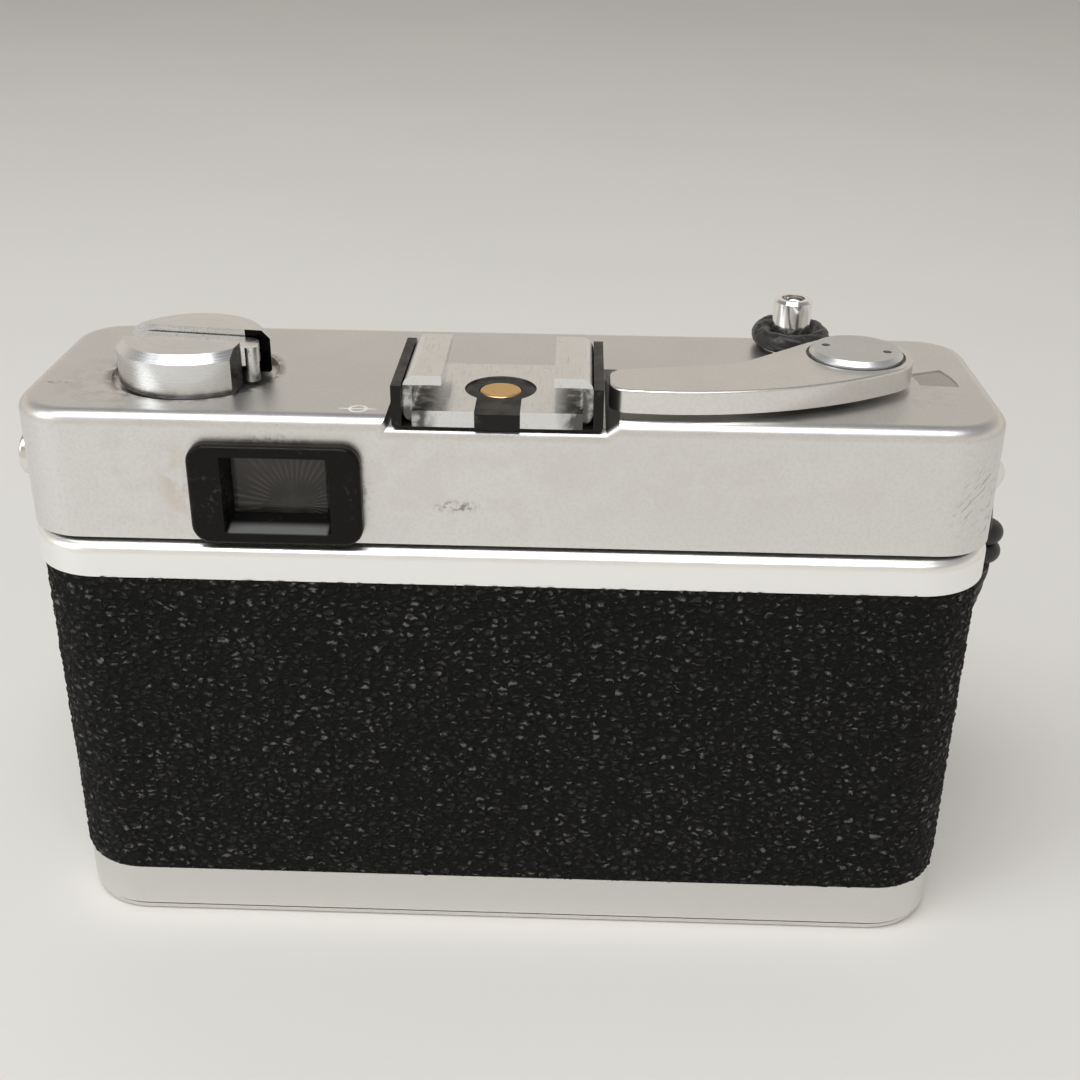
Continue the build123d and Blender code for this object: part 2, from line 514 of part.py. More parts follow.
with BuildPart() as body_casting:
    with BuildSketch(level(BASE_THICK)) as cast_front:
        rounded_plan(cast_front, CAST_HALF, CAST_FRONT, DOOR_SPLIT, CORNER_FRONT - 1.0, 0)
    extrude(amount=SEAM_Z - BASE_THICK)
    block((-54.0, 53.4), (DOOR_SPLIT - 1, CAST_REAR), (BASE_THICK, SEAM_Z))
    # Chambers for the cartridge and the take-up spool, both open to the rear.
    for x, y, r in ((KNOB_X, KNOB_Y, CARTRIDGE_R), (LEVER_X, LEVER_Y, TAKE_UP_R)):
        post(x, y, CHAMBER_LOW, CHAMBER_HIGH, r, Mode.SUBTRACT)
        block((x - r, x + r), (y, CAST_REAR + 1), (CHAMBER_LOW, CHAMBER_HIGH), Mode.SUBTRACT)
    # Post that the spool turns on.
    post(LEVER_X, LEVER_Y, CHAMBER_LOW - 0.5, CHAMBER_HIGH + 0.5, SPOOL_POST_R)
    # Sprocket recess.
    post(SPROCKET_X, SPROCKET_Y, 9.5, 47.5, 6.2, Mode.SUBTRACT)
    block((SPROCKET_X - 6.2, SPROCKET_X + 6.2), (SPROCKET_Y, CAST_REAR + 1), (9.5, 47.5), Mode.SUBTRACT)
    # Shutter cavity, then the light box that narrows to the film gate.
    drum(0, LENS_Z, -2.5, CAST_FRONT - 1, CAVITY_R, Mode.SUBTRACT)
    with BuildSketch(facing_front(-2.5)):
        with Locations((0, LENS_Z)):
            Rectangle(16.0, 20.0)
    with BuildSketch(facing_front(CAST_REAR)):
        with Locations((0, LENS_Z)):
            Rectangle(GATE_WIDE, GATE_HIGH)
    loft(mode=Mode.SUBTRACT)
    # Film rails: an inner pair that carries the film and an outer pair that guides it.
    for side in (-1, 1):
        for low, high in ((12.0, 13.6), (17.7, 19.2)):
            z_pair = sorted((LENS_Z + side * low, LENS_Z + side * high))
            block((-14.6, 24.9), (CAST_REAR - 0.5, FILM_Y), z_pair)
    # Latch channel, shaft holes, battery well and tripod bush pocket.
    block((52.3, 54), (4.6, 9.4), (20.0, 52.4), Mode.SUBTRACT)
    post(KNOB_X, KNOB_Y, 50, 55, 3.3, Mode.SUBTRACT)
    post(BATTERY_X, BATTERY_Y, 0, 7.2, BATTERY_R + 0.2, Mode.SUBTRACT)
    post(0, 0, 0, 5.6, BUSH_R, Mode.SUBTRACT)
    post(SPROCKET_X, SPROCKET_Y, 0, 10, 2.3, Mode.SUBTRACT)
save(body_casting.part, "body_casting")

FLANGE_R = 25.0
with BuildPart() as front_shell:
    with BuildSketch(level(BASE_THICK)) as shell_outline:
        rounded_plan(shell_outline, BODY_HALF, BODY_FRONT, DOOR_SPLIT, CORNER_FRONT, 0)
    extrude(amount=SEAM_Z - BASE_THICK)
    with BuildSketch(level(SKIN_HIGH)) as shell_band:
        rounded_plan(shell_band, BAND_HALF, BODY_FRONT, DOOR_SPLIT, CORNER_FRONT, 0)
    extrude(amount=SEAM_Z - SKIN_HIGH)
    with BuildSketch(level(BASE_THICK)) as shell_inside:
        rounded_plan(shell_inside, CAST_HALF, CAST_FRONT, DOOR_SPLIT + 5, CORNER_FRONT - 1.0, 0)
    extrude(amount=SEAM_Z, mode=Mode.SUBTRACT)
    with BuildSketch(level(SKIN_LOW)) as recess_outline:
        rounded_plan(recess_outline, BODY_HALF + 2, BODY_FRONT - 2, DOOR_SPLIT + 1, 0, 0)
        with BuildSketch(mode=Mode.PRIVATE) as recess_floor:
            rounded_plan(recess_floor, BODY_HALF - SKIN_RECESS, BODY_FRONT + SKIN_RECESS, DOOR_SPLIT + 1,
                         CORNER_FRONT - SKIN_RECESS, 0)
        add(recess_floor.sketch, mode=Mode.SUBTRACT)
    extrude(amount=SKIN_HIGH - SKIN_LOW, mode=Mode.SUBTRACT)
    drum(0, LENS_Z, BODY_FRONT + 3, BODY_FRONT - 1, CAVITY_R, Mode.SUBTRACT)
    # Knuckles of the door hinge at each end, on a leaf that lies on the shell.
    for low, high in END_KNUCKLES:
        block((HINGE_X + 0.1, -BODY_HALF + 0.6), (-2.6, HINGE_Y), (low, high))
        post(HINGE_X, HINGE_Y, low, high, HINGE_R)
        post(HINGE_X, HINGE_Y, low - 1, high + 1, HINGE_PIN_R, Mode.SUBTRACT)
    post(HINGE_X, HINGE_Y, MIDDLE_KNUCKLE[0] - 0.3, MIDDLE_KNUCKLE[1] + 0.3, HINGE_R + APART, Mode.SUBTRACT)
save(front_shell.part, "front_shell")

TIMER_X = 36.0
TIMER_Z = 33.0
with BuildPart() as front_leather:
    with BuildSketch(level(SKIN_LOW + 0.05)) as skin_outline:
        rounded_plan(skin_outline, BODY_HALF - SKIN_RECESS + SKIN, BODY_FRONT + SKIN_RECESS - SKIN,
                     DOOR_SPLIT - 0.1, CORNER_FRONT - SKIN_RECESS + SKIN, 0)
        with BuildSketch(mode=Mode.PRIVATE) as skin_inside:
            rounded_plan(skin_inside, BODY_HALF - SKIN_RECESS, BODY_FRONT + SKIN_RECESS, DOOR_SPLIT + 1,
                         CORNER_FRONT - SKIN_RECESS, 0)
        add(skin_inside.sketch, mode=Mode.SUBTRACT)
    extrude(amount=SKIN_HIGH - SKIN_LOW - 0.1)
    drum(0, LENS_Z, BODY_FRONT + 3, BODY_FRONT - 3, FLANGE_R + 0.1, Mode.SUBTRACT)
    drum(TIMER_X, TIMER_Z, BODY_FRONT + 3, BODY_FRONT - 3, 4.2, Mode.SUBTRACT)
    for low, high in END_KNUCKLES:
        block((-60, -55), (-2.9, 5), (low - 0.3, high + 0.3), Mode.SUBTRACT)
    block((-60, -55), (0.9, 5), MIDDLE_KNUCKLE, Mode.SUBTRACT)
save(front_leather.part, "front_leather")

# ---- Film transport -----------------------------------------------------------------------------
SPOOL_R = 10.8
with BuildPart() as takeup_spool:
    post(LEVER_X, LEVER_Y, 4.4, 50.4, 5.6)
    for low in (4.4, 49.4):
        post(LEVER_X, LEVER_Y, low, low + 1.0, SPOOL_R)
    post(LEVER_X, LEVER_Y, 4.0, 51.0, SPOOL_POST_R + RUN, Mode.SUBTRACT)
    # Slots for the film's leader.
    for turn in (0, 120, 240):
        with Locations(Location((LEVER_X, LEVER_Y, LENS_Z), (0, 0, turn))):
            with Locations((4.6, 0, 0)):
                Box(4.0, 0.9, 34.0, mode=Mode.SUBTRACT)
save(takeup_spool.part, "takeup_spool")

SPROCKET_TEETH = 8
with BuildPart() as film_sprocket:
    post(SPROCKET_X, SPROCKET_Y, 10.0, 47.0, 3.4)
    for z in (LENS_Z - 14.1, LENS_Z + 14.1):
        post(SPROCKET_X, SPROCKET_Y, z - 1.6, z + 1.6, 4.7)
        with BuildSketch(level(z - 0.9)):
            with Locations((SPROCKET_X, SPROCKET_Y)):
                with PolarLocations(4.9, SPROCKET_TEETH):
                    Rectangle(1.6, 1.3)
        extrude(amount=1.8)
save(film_sprocket.part, "film_sprocket")

with BuildPart() as rewind_release:
    post(SPROCKET_X, SPROCKET_Y, 0.3, 6.5, 1.9)
    fillet(rewind_release.faces().sort_by(Axis.Z)[0].edges(), 0.3)
save(rewind_release.part, "rewind_release")

# ---- Base ---------------------------------------------------------------------------------------
COVER_COIN_R = 8.8
TRIPOD_R = 2.55            # tapping size of the 1/4 inch thread
TRIPOD_DEEP = 5.5
base_screw_places = ((-49.5, -9.5), (49.5, -9.5), (-31.0, 9.0), (31.0, -11.0))

with BuildPart() as base_plate:
    with BuildSketch(level(0)) as base_outline:
        rounded_plan(base_outline, BODY_HALF - 0.1, BODY_FRONT + 0.1, DOOR_REAR - 0.4, CORNER_FRONT,
                     DOOR_CORNER)
        with Locations((0, 0)):
            Circle(BUSH_R, mode=Mode.SUBTRACT)
        with Locations((BATTERY_X, BATTERY_Y)):
            Circle(COVER_COIN_R + APART, mode=Mode.SUBTRACT)
        with Locations((SPROCKET_X, SPROCKET_Y)):
            Circle(2.6, mode=Mode.SUBTRACT)
    extrude(amount=BASE_THICK)
    chamfer(base_plate.faces().sort_by(Axis.Z)[0].outer_wire().edges(), 0.25)
    for x, y in base_screw_places:
        post(x, y, -1, 0.6, 2.0, Mode.SUBTRACT)
save(base_plate.part, "base_plate")

SCREW_HEAD_R = 1.9
with BuildPart() as slotted_screws:
    for x, y in base_screw_places:
        post(x, y, 0.05, 0.6, SCREW_HEAD_R)
        block((x - 2, x + 2), (y - 0.25, y + 0.25), (0, 0.3), Mode.SUBTRACT)
save(slotted_screws.part, "slotted_screws")

with BuildPart() as tripod_bush:
    post(0, 0, 0, 5.6, BUSH_R)
    post(0, 0, -1, TRIPOD_DEEP, TRIPOD_R, Mode.SUBTRACT)
save(tripod_bush.part, "tripod_bush")

with BuildPart() as battery_cover:
    post(BATTERY_X, BATTERY_Y, 0.1, 0.75, COVER_COIN_R)
    post(BATTERY_X, BATTERY_Y, 0.75, 1.5, BATTERY_R - 0.2)
    block((BATTERY_X - 6, BATTERY_X + 6), (BATTERY_Y - 0.8, BATTERY_Y + 0.8), (0, 0.5), Mode.SUBTRACT)
save(battery_cover.part, "battery_cover")

# ---- Back door ------------------------------------------------------------------------------------
DOOR_LOW = BASE_THICK + 0.2
DOOR_HIGH = SEAM_Z - 0.35
DOOR_WALL = 1.9
DOOR_FRONT = DOOR_SPLIT + DOOR_GAP


def door_plan(sketch, inset, front):
    rounded_plan(sketch, BODY_HALF + 0.05 - inset, front, DOOR_REAR - inset, 0, DOOR_CORNER - inset)


with BuildPart() as back_door:
    with BuildSketch(level(DOOR_LOW)) as door_outline:
        door_plan(door_outline, 0, DOOR_FRONT)
    extrude(amount=DOOR_HIGH - DOOR_LOW)
    with BuildSketch(level(SKIN_HIGH)) as door_band:
        rounded_plan(door_band, BAND_HALF, DOOR_FRONT, DOOR_REAR, 0, DOOR_CORNER)
    extrude(amount=DOOR_HIGH - SKIN_HIGH)
    fillet(back_door.faces().sort_by(Axis.Z)[-1].edges().filter_by(lambda e: e.center().Y > DOOR_FRONT + 0.1),
           1.2)
    fillet(back_door.faces().sort_by(Axis.Z)[0].edges().filter_by(lambda e: e.center().Y > DOOR_FRONT + 0.1),
           0.5)
    with BuildSketch(level(DOOR_LOW + 1.05)) as door_inside:
        door_plan(door_inside, DOOR_WALL, DOOR_FRONT - 1)
    extrude(amount=DOOR_HIGH - DOOR_LOW - 2.1, mode=Mode.SUBTRACT)
    # The flanges along the top and bottom are narrow, clear of the casting.
    block((DOOR_WALL - BODY_HALF, BODY_HALF - DOOR_WALL), (DOOR_FRONT - 1, CAST_REAR + 1.2),
          (0, SEAM_Z), Mode.SUBTRACT)
    # Recess for the leatherette between the two bright bands.
    with BuildSketch(level(SKIN_LOW)) as door_recess:
        rounded_plan(door_recess, BODY_HALF + 3, DOOR_FRONT - 1, DOOR_REAR + 3, 0, 0)
        with BuildSketch(mode=Mode.PRIVATE) as door_floor:
            door_plan(door_floor, SKIN_RECESS, DOOR_FRONT - 2)
        add(door_floor.sketch, mode=Mode.SUBTRACT)
    extrude(amount=SKIN_HIGH - SKIN_LOW, mode=Mode.SUBTRACT)
    # Tab for the latch, and the middle knuckle of the hinge on its leaf.
    block((53.5, 54.6), (4.0, 6.4), (26.6, 30.6))
    for low, high in END_KNUCKLES:
        post(HINGE_X, HINGE_Y, low - 0.3, high + 0.3, HINGE_R + APART, Mode.SUBTRACT)
    block((HINGE_X + 0.1, -BODY_HALF + 0.35), (HINGE_Y, 7.0), MIDDLE_KNUCKLE)
    block((HINGE_X + 0.3, -BODY_HALF + 0.6), (DOOR_FRONT, 7.0), MIDDLE_KNUCKLE)
    post(HINGE_X, HINGE_Y, *MIDDLE_KNUCKLE, HINGE_R)
    post(HINGE_X, HINGE_Y, 15.0, 37.0, HINGE_PIN_R + RUN, Mode.SUBTRACT)
save(back_door.part, "back_door")

with BuildPart() as door_leather:
    with BuildSketch(level(SKIN_LOW + 0.05)) as hide_outline:
        door_plan(hide_outline, SKIN_RECESS - SKIN, DOOR_FRONT + 0.1)
        with BuildSketch(mode=Mode.PRIVATE) as hide_inside:
            door_plan(hide_inside, SKIN_RECESS, DOOR_FRONT - 2)
        add(hide_inside.sketch, mode=Mode.SUBTRACT)
    extrude(amount=SKIN_HIGH - SKIN_LOW - 0.1)
    block((-60, -55), (0, 7.2), (MIDDLE_KNUCKLE[0] - 0.2, MIDDLE_KNUCKLE[1] + 0.2), Mode.SUBTRACT)
    for low, high in END_KNUCKLES:
        post(HINGE_X, HINGE_Y, low - 0.3, high + 0.3, HINGE_R + APART, Mode.SUBTRACT)
save(door_leather.part, "door_leather")

with BuildPart() as hinge_pin:
    post(HINGE_X, HINGE_Y, 5.3, 47.7, HINGE_PIN_R)
save(hinge_pin.part, "hinge_pin")

PLATE_HALF = 14.2
with BuildPart() as pressure_plate:
    with BuildSketch(facing_front(13.0)):
        with Locations((1.0, LENS_Z)):
            RectangleRounded(2 * PLATE_HALF, 34.0, 1.5)
    extrude(amount=1.0)
save(pressure_plate.part, "pressure_plate")

with BuildPart() as plate_spring:
    for side in (-1, 1):
        with BuildSketch(facing_front(13.0)):
            with Locations((1.0 + side * 5.0, LENS_Z)):
                Rectangle(4.0, 22.0)
        extrude(amount=-0.4)
        for end in (-1, 1):
            block((1.0 + side * 5.0 - 2.0, 1.0 + side * 5.0 + 2.0), (13.3, 15.1),
                  sorted((LENS_Z + end * 10.6, LENS_Z + end * 11.0)))
save(plate_spring.part, "plate_spring")

# ---- Lens and shutter -----------------------------------------------------------------------------
SHUTTER_FRONT = CAST_FRONT
BLADE_CAVITY = (-9.4, -7.0)
BLADE_PIVOT = 12.5
APERTURE_R = 7.0
BLADE_R = 8.0
BLADE_PIN_R = 0.8


def ring(x, z, rear, front, outer, inner):
    """Flat ring along the lens axis."""
    drum(x, z, rear, front, outer)
    drum(x, z, rear + 1, front - 1, inner, Mode.SUBTRACT)


with BuildPart() as shutter_housing:
    drum(0, LENS_Z, -2.7, SHUTTER_FRONT, SHUTTER_R)
    drum(0, LENS_Z, *BLADE_CAVITY[::-1], 17.0, Mode.SUBTRACT)
    drum(0, LENS_Z, -1, -8, APERTURE_R, Mode.SUBTRACT)
    drum(0, LENS_Z, -8, SHUTTER_FRONT - 1, 9.6, Mode.SUBTRACT)
    for side in (-1, 1):
        drum(side * BLADE_PIVOT, LENS_Z, -6.5, -10.0, BLADE_PIN_R)
save(shutter_housing.part, "shutter_housing")


# Each blade covers half of the aperture, on an arm to its own pivot pin.
for blade_name, side, rear in (("shutter_blade_a", 1, -7.5), ("shutter_blade_b", -1, -8.3)):
    with BuildPart() as shutter_blade:
        with BuildSketch(facing_front(rear)):
            with Locations((0, LENS_Z)):
                Circle(BLADE_R)
            with Locations((0, LENS_Z - side * (0.5 + BLADE_R))):
                Rectangle(4 * BLADE_R, 2 * BLADE_R, mode=Mode.SUBTRACT)
            with Locations((-side * (BLADE_PIVOT + 4.0) / 2, LENS_Z + side * 1.6)):
                Rectangle(BLADE_PIVOT - 4.0, 2.4)
            with Locations((-side * BLADE_PIVOT, LENS_Z)):
                Circle(2.6)
                Circle(BLADE_PIN_R + RUN, mode=Mode.SUBTRACT)
        extrude(amount=0.4)
    save(shutter_blade.part, blade_name)

with BuildPart() as rear_lens:
    drum(0, LENS_Z, -3.4, -6.2, APERTURE_R)
    fillet(rear_lens.faces().sort_by(Axis.Y)[-1].edges(), 0.6)
save(rear_lens.part, "rear_lens")

with BuildPart() as lens_flange:
    ring(0, LENS_Z, BODY_FRONT, -17.4, FLANGE_R, 20.2)
    chamfer(lens_flange.faces().sort_by(Axis.Y)[0].edges(), 0.4)
save(lens_flange.part, "lens_flange")

with BuildPart() as lens_barrel:
    ring(0, LENS_Z, SHUTTER_FRONT, -28.0, 19.9, 18.3)
    ring(0, LENS_Z, SHUTTER_FRONT, -16.4, 20.15, 18.3)
save(lens_barrel.part, "lens_barrel")

RIBS = 48


def grip_ring(rear, front, outer, rib):
    """Control ring with ribs cut into its rim."""
    ring(0, LENS_Z, rear, front, outer, 20.2)
    with Locations(facing_front((rear + front + 0.8) / 2).location):
        with Locations((0, LENS_Z, 0)):
            with PolarLocations(outer, RIBS):
                Box(rib, 1.1, rear - front - 0.8, mode=Mode.SUBTRACT)


with BuildPart() as exposure_ring:
    grip_ring(-17.7, -21.9, 23.4, 0.9)
save(exposure_ring.part, "exposure_ring")

with BuildPart() as focus_ring:
    grip_ring(-22.3, -27.6, 24.4, 1.2)
    # Finger tab at the lower left, seen from the front.
    with Locations(Location((0, -25.0, LENS_Z), (0, 35, 0))):
        with Locations((0, 0, -25.0)):
            Box(7.0, 3.6, 4.4)
save(focus_ring.part, "focus_ring")

FILTER_R = 20.0
with BuildPart() as front_barrel:
    ring(0, LENS_Z, -28.3, -34.6, 21.6, FILTER_R)
    ring(0, LENS_Z, -28.3, -31.6, 21.0, 11.6)
    ring(0, LENS_Z, -31.6, -32.4, 21.0, 19.55)
    ring(0, LENS_Z, -15.6, -30.0, 18.0, 11.6)
    ring(0, LENS_Z, -11.4, -16.0, 9.3, 6.9)
    ring(0, LENS_Z, -15.6, -17.0, 18.0, 6.9)
    chamfer(front_barrel.faces().sort_by(Axis.Y)[0].outer_wire().edges(), 0.4)
save(front_barrel.part, "front_barrel")

with BuildPart() as name_ring:
    ring(0, LENS_Z, -31.6, -32.3, 19.5, 11.6)
    drum(0, LENS_Z + 15.8, -31, -33, 2.6, Mode.SUBTRACT)
    chamfer(name_ring.faces().sort_by(Axis.Y)[0].inner_wires()[0].edges(), 0.4)
save(name_ring.part, "name_ring")

with BuildPart() as front_lens:
    drum(0, LENS_Z, -26.0, -31.4, 11.6)
    # Curved front face.
    with Locations((0, -31.4 + 24.0, LENS_Z)):
        Sphere(26.0, mode=Mode.INTERSECT)
save(front_lens.part, "front_lens")

with BuildPart() as cds_cell:
    drum(0, LENS_Z + 15.8, -31.6, -32.3, 2.6)
save(cds_cell.part, "cds_cell")

# ---- Self-timer -----------------------------------------------------------------------------------
with BuildPart() as timer_boss:
    drum(TIMER_X, TIMER_Z, BODY_FRONT + SKIN_RECESS, -16.9, 4.1)
    drum(TIMER_X, TIMER_Z, -16.0, -18.4, 1.6)
save(timer_boss.part, "timer_boss")

with BuildPart() as timer_lever:
    with BuildSketch(facing_front(-17.2)) as timer_outline:
        with Locations((TIMER_X, TIMER_Z)):
            Circle(4.0)
        with BuildLine():
            Polyline((TIMER_X - 3.4, TIMER_Z), (TIMER_X - 2.2, TIMER_Z - 15), (TIMER_X + 2.2, TIMER_Z - 15),
                     (TIMER_X + 3.4, TIMER_Z), close=True)
        make_face()
        fillet(timer_outline.vertices().group_by(Axis.Y)[0], 2.0)
    extrude(amount=2.0)
    drum(TIMER_X, TIMER_Z, -16, -18.45, 1.6 + RUN, Mode.SUBTRACT)
    fillet(timer_lever.faces().sort_by(Axis.Y)[0].edges(), 0.4)
save(timer_lever.part, "timer_lever")

# ---- Flash sync socket and strap lug ------------------------------------------------------------
with BuildPart() as sync_socket:
    stud(6.2, 60.4, COVER_HALF, COVER_HALF + 1.8, 2.65)
    fillet(sync_socket.faces().sort_by(Axis.X)[-1].edges(), 0.4)
    stud(6.2, 60.4, COVER_HALF - 3, COVER_HALF, 1.95)
    stud(6.2, 60.4, COVER_HALF - 1.5, COVER_HALF + 3, 1.55, Mode.SUBTRACT)
    stud(6.2, 60.4, COVER_HALF - 2, COVER_HALF + 1.2, 0.5)
save(sync_socket.part, "sync_socket")

LUG_Z = 55.9
with BuildPart() as strap_lug:
    with BuildSketch(facing_front(HITCH_Y + 0.7)):
        with Locations((-59.7, LUG_Z)):
            Circle(2.7)
            Circle(1.5, mode=Mode.SUBTRACT)
    extrude(amount=1.4)
    stud(HITCH_Y, 56.9, -57.7, -55.0, 1.15)
    block((-58.0, -57.0), (HITCH_Y - 1.4, HITCH_Y + 1.4), (54.9, 58.6))
save(strap_lug.part, "strap_lug")

# ---- Wrist strap --------------------------------------------------------------------------------
HITCH_LOW = 43.6
with BuildPart() as strap_hitch:
    # Two turns of cord, one above the other, bound together.
    for z in (HITCH_LOW + 1.4, HITCH_LOW + 4.1):
        with BuildSketch(Plane(origin=(HITCH_X, HITCH_Y, z), x_dir=(1, 0, 0), z_dir=(0, -1, 0))):
            with BuildLine():
                Line((0, -1.4), (1.3, -1.4))
                ThreePointArc((1.3, -1.4), (2.7, 0), (1.3, 1.4))
                Line((1.3, 1.4), (0, 1.4))
                Line((0, 1.4), (0, -1.4))
            make_face()
        revolve(axis=Axis((HITCH_X, HITCH_Y, z), (0, 0, 1)))
    # Thin loop that passes through the lug's eye.
    with BuildLine():
        loop = FilletPolyline((HITCH_X, HITCH_Y - 1.6, HITCH_LOW + 4.6), (-60.3, HITCH_Y - 2.2, 52.6),
                              (-59.7, HITCH_Y - 1.7, LUG_Z), (-59.7, HITCH_Y + 1.7, LUG_Z),
                              (-60.3, HITCH_Y + 2.2, 52.6), (HITCH_X, HITCH_Y + 1.6, HITCH_LOW + 4.6),
                              radius=[2.4, 1.5, 1.5, 2.4])
    with BuildSketch(Plane(origin=loop @ 0, z_dir=loop % 0)):
        Circle(0.75)
    sweep(path=loop)
save(strap_hitch.part, "strap_hitch")

CORD_Z = TOP_Z + 1.4
LOOP_X = BUTTON_X - 0.05
LOOP_R = 3.75              # the cord's middle line round the release
LOOP_SIDE = LOOP_R * tan(radians(22.5))
cord_route = [
    (-61.0, -3.2, HITCH_LOW),
    (-61.0, -4.8, 39.2),
    (-60.9, -8.6, 32.6),
    (-61.0, -13.0, 24.4),
    (-60.0, -18.0, 15.2),
    (-55.2, -21.6, 7.6),
    (-46.0, -23.0, 6.9),
    (-40.6, -22.8, 13.6),
    (-37.0, -22.5, 25.5),
    (-33.8, -22.1, 39.0),
    (-31.9, -21.7, 51.0),
    (-31.4, -21.4, 60.6),
    (-31.3, -20.9, 67.4),
    (-31.2, -17.0, 71.5),
    (LOOP_X + LOOP_R, BUTTON_Y + LOOP_SIDE, CORD_Z),
    (LOOP_X + LOOP_SIDE, BUTTON_Y + LOOP_R, CORD_Z),
    (LOOP_X - LOOP_SIDE, BUTTON_Y + LOOP_R, CORD_Z),
    (LOOP_X - LOOP_R, BUTTON_Y + LOOP_SIDE, CORD_Z),
    (-38.7, -17.0, 71.4),
    (-38.9, -20.8, 67.2),
    (-39.5, -21.5, 59.6),
    (-41.0, -22.6, 48.0),
    (-43.6, -23.6, 37.6),
    (-45.9, -24.9, 30.7),
    (-50.4, -24.3, 24.2),
    (-55.5, -21.5, 22.0),
    (-60.3, -18.1, 24.2),
    (-61.6, -13.2, 29.7),
    (-61.0, -9.4, 37.0),
    (-60.7, -6.2, HITCH_LOW),
]
FILLET_SHARE = 0.45


def route_radii(points):
    """One radius for each corner: a share of its shorter run, over the tangent of half its turn."""
    runs = [Vector(b) - Vector(a) for a, b in zip(points, points[1:])]
    radii = []
    for before, after in zip(runs, runs[1:]):
        half_turn = radians(before.get_angle(after)) / 2
        radii.append(FILLET_SHARE * min(before.length, after.length) / tan(half_turn))
    return radii


cord_radii = route_radii(cord_route)
with BuildPart() as strap_cord:
    with BuildLine():
        strap_path = FilletPolyline(*cord_route, radius=cord_radii)
    with BuildSketch(Plane(origin=strap_path @ 0, z_dir=strap_path % 0)):
        Circle(STRAP_D / 2)
    sweep(path=strap_path)
save(strap_cord.part, "strap_cord")

cord_section = 3.14159265 * (STRAP_D / 2) ** 2
print("strap length", round(strap_path.length, 1), "radii", [round(r, 1) for r in cord_radii])
print("strap volume", round(strap_cord.part.volume, 1), "section x length",
      round(cord_section * strap_path.length, 1))
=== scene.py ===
from math import cos, pi, radians, sin, tan

import bpy
from mathutils import Matrix, Vector, noise


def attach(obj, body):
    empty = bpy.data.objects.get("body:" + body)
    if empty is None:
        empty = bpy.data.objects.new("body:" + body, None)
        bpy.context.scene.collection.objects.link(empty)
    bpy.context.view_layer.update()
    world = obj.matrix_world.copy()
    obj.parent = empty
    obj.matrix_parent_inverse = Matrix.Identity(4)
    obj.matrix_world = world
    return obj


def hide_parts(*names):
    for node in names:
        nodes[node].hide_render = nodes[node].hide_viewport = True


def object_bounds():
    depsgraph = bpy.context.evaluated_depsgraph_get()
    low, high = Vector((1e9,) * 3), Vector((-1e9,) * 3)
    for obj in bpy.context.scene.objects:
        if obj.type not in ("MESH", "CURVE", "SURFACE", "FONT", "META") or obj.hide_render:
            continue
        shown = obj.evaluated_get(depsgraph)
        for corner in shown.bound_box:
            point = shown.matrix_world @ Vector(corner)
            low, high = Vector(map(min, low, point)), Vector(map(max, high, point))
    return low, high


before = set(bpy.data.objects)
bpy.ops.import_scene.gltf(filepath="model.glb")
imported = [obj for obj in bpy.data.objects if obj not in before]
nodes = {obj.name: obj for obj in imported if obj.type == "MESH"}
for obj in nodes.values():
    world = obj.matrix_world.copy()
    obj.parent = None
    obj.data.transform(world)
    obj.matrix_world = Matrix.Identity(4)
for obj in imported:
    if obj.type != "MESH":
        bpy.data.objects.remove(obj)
cad_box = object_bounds()
MM = 0.001

# ---- Places on the object, in mm -----------------------------------------------------------
LENS_AT = (0.0, 0.0)
LENS_Z = 28.5
TOP_Z = 69.7
REAR_Y = 16.5
DOOR_Y = 17.9
KNOB_AT = (38.1, 2.2)
LEVER_AT = (-40.8, 1.2)
BUTTON_AT = (-34.9, -12.2)
BUTTON_TOP = 76.0
SHOE_X = 1.0
CONTACT_AT = (SHOE_X, 8.6)
BATTERY_AT = (17.0, -5.0)
FILM_MARK_AT = (16.9, 13.5)

# ---- Camera, above and behind the object ---------------------------------------------------
CAMERA_AT = Vector((-7.738, 162.59, 127.04)) * MM
LOOK = Vector((0.02333, -0.8970, -0.4413)).normalized()
ROLL = 0.012
across = Vector((-0.99966, -0.0260, 0.0))
across = (across - LOOK * across.dot(LOOK)).normalized()
upward = across.cross(LOOK)
right = across * cos(ROLL) + upward * sin(ROLL)
up = upward * cos(ROLL) - across * sin(ROLL)
camera_data = bpy.data.cameras.new("camera")
camera_data.lens = 47.07
camera_data.sensor_width = 36.0
camera_data.clip_start = 0.01
bpy.context.scene.view_settings.view_transform = "Standard"
camera = bpy.data.objects.new("camera", camera_data)
camera.matrix_world = Matrix((
    (right.x, up.x, -LOOK.x, CAMERA_AT.x),
    (right.y, up.y, -LOOK.y, CAMERA_AT.y),
    (right.z, up.z, -LOOK.z, CAMERA_AT.z),
    (0, 0, 0, 1)))
bpy.context.scene.collection.objects.link(camera)
bpy.context.scene.camera = camera


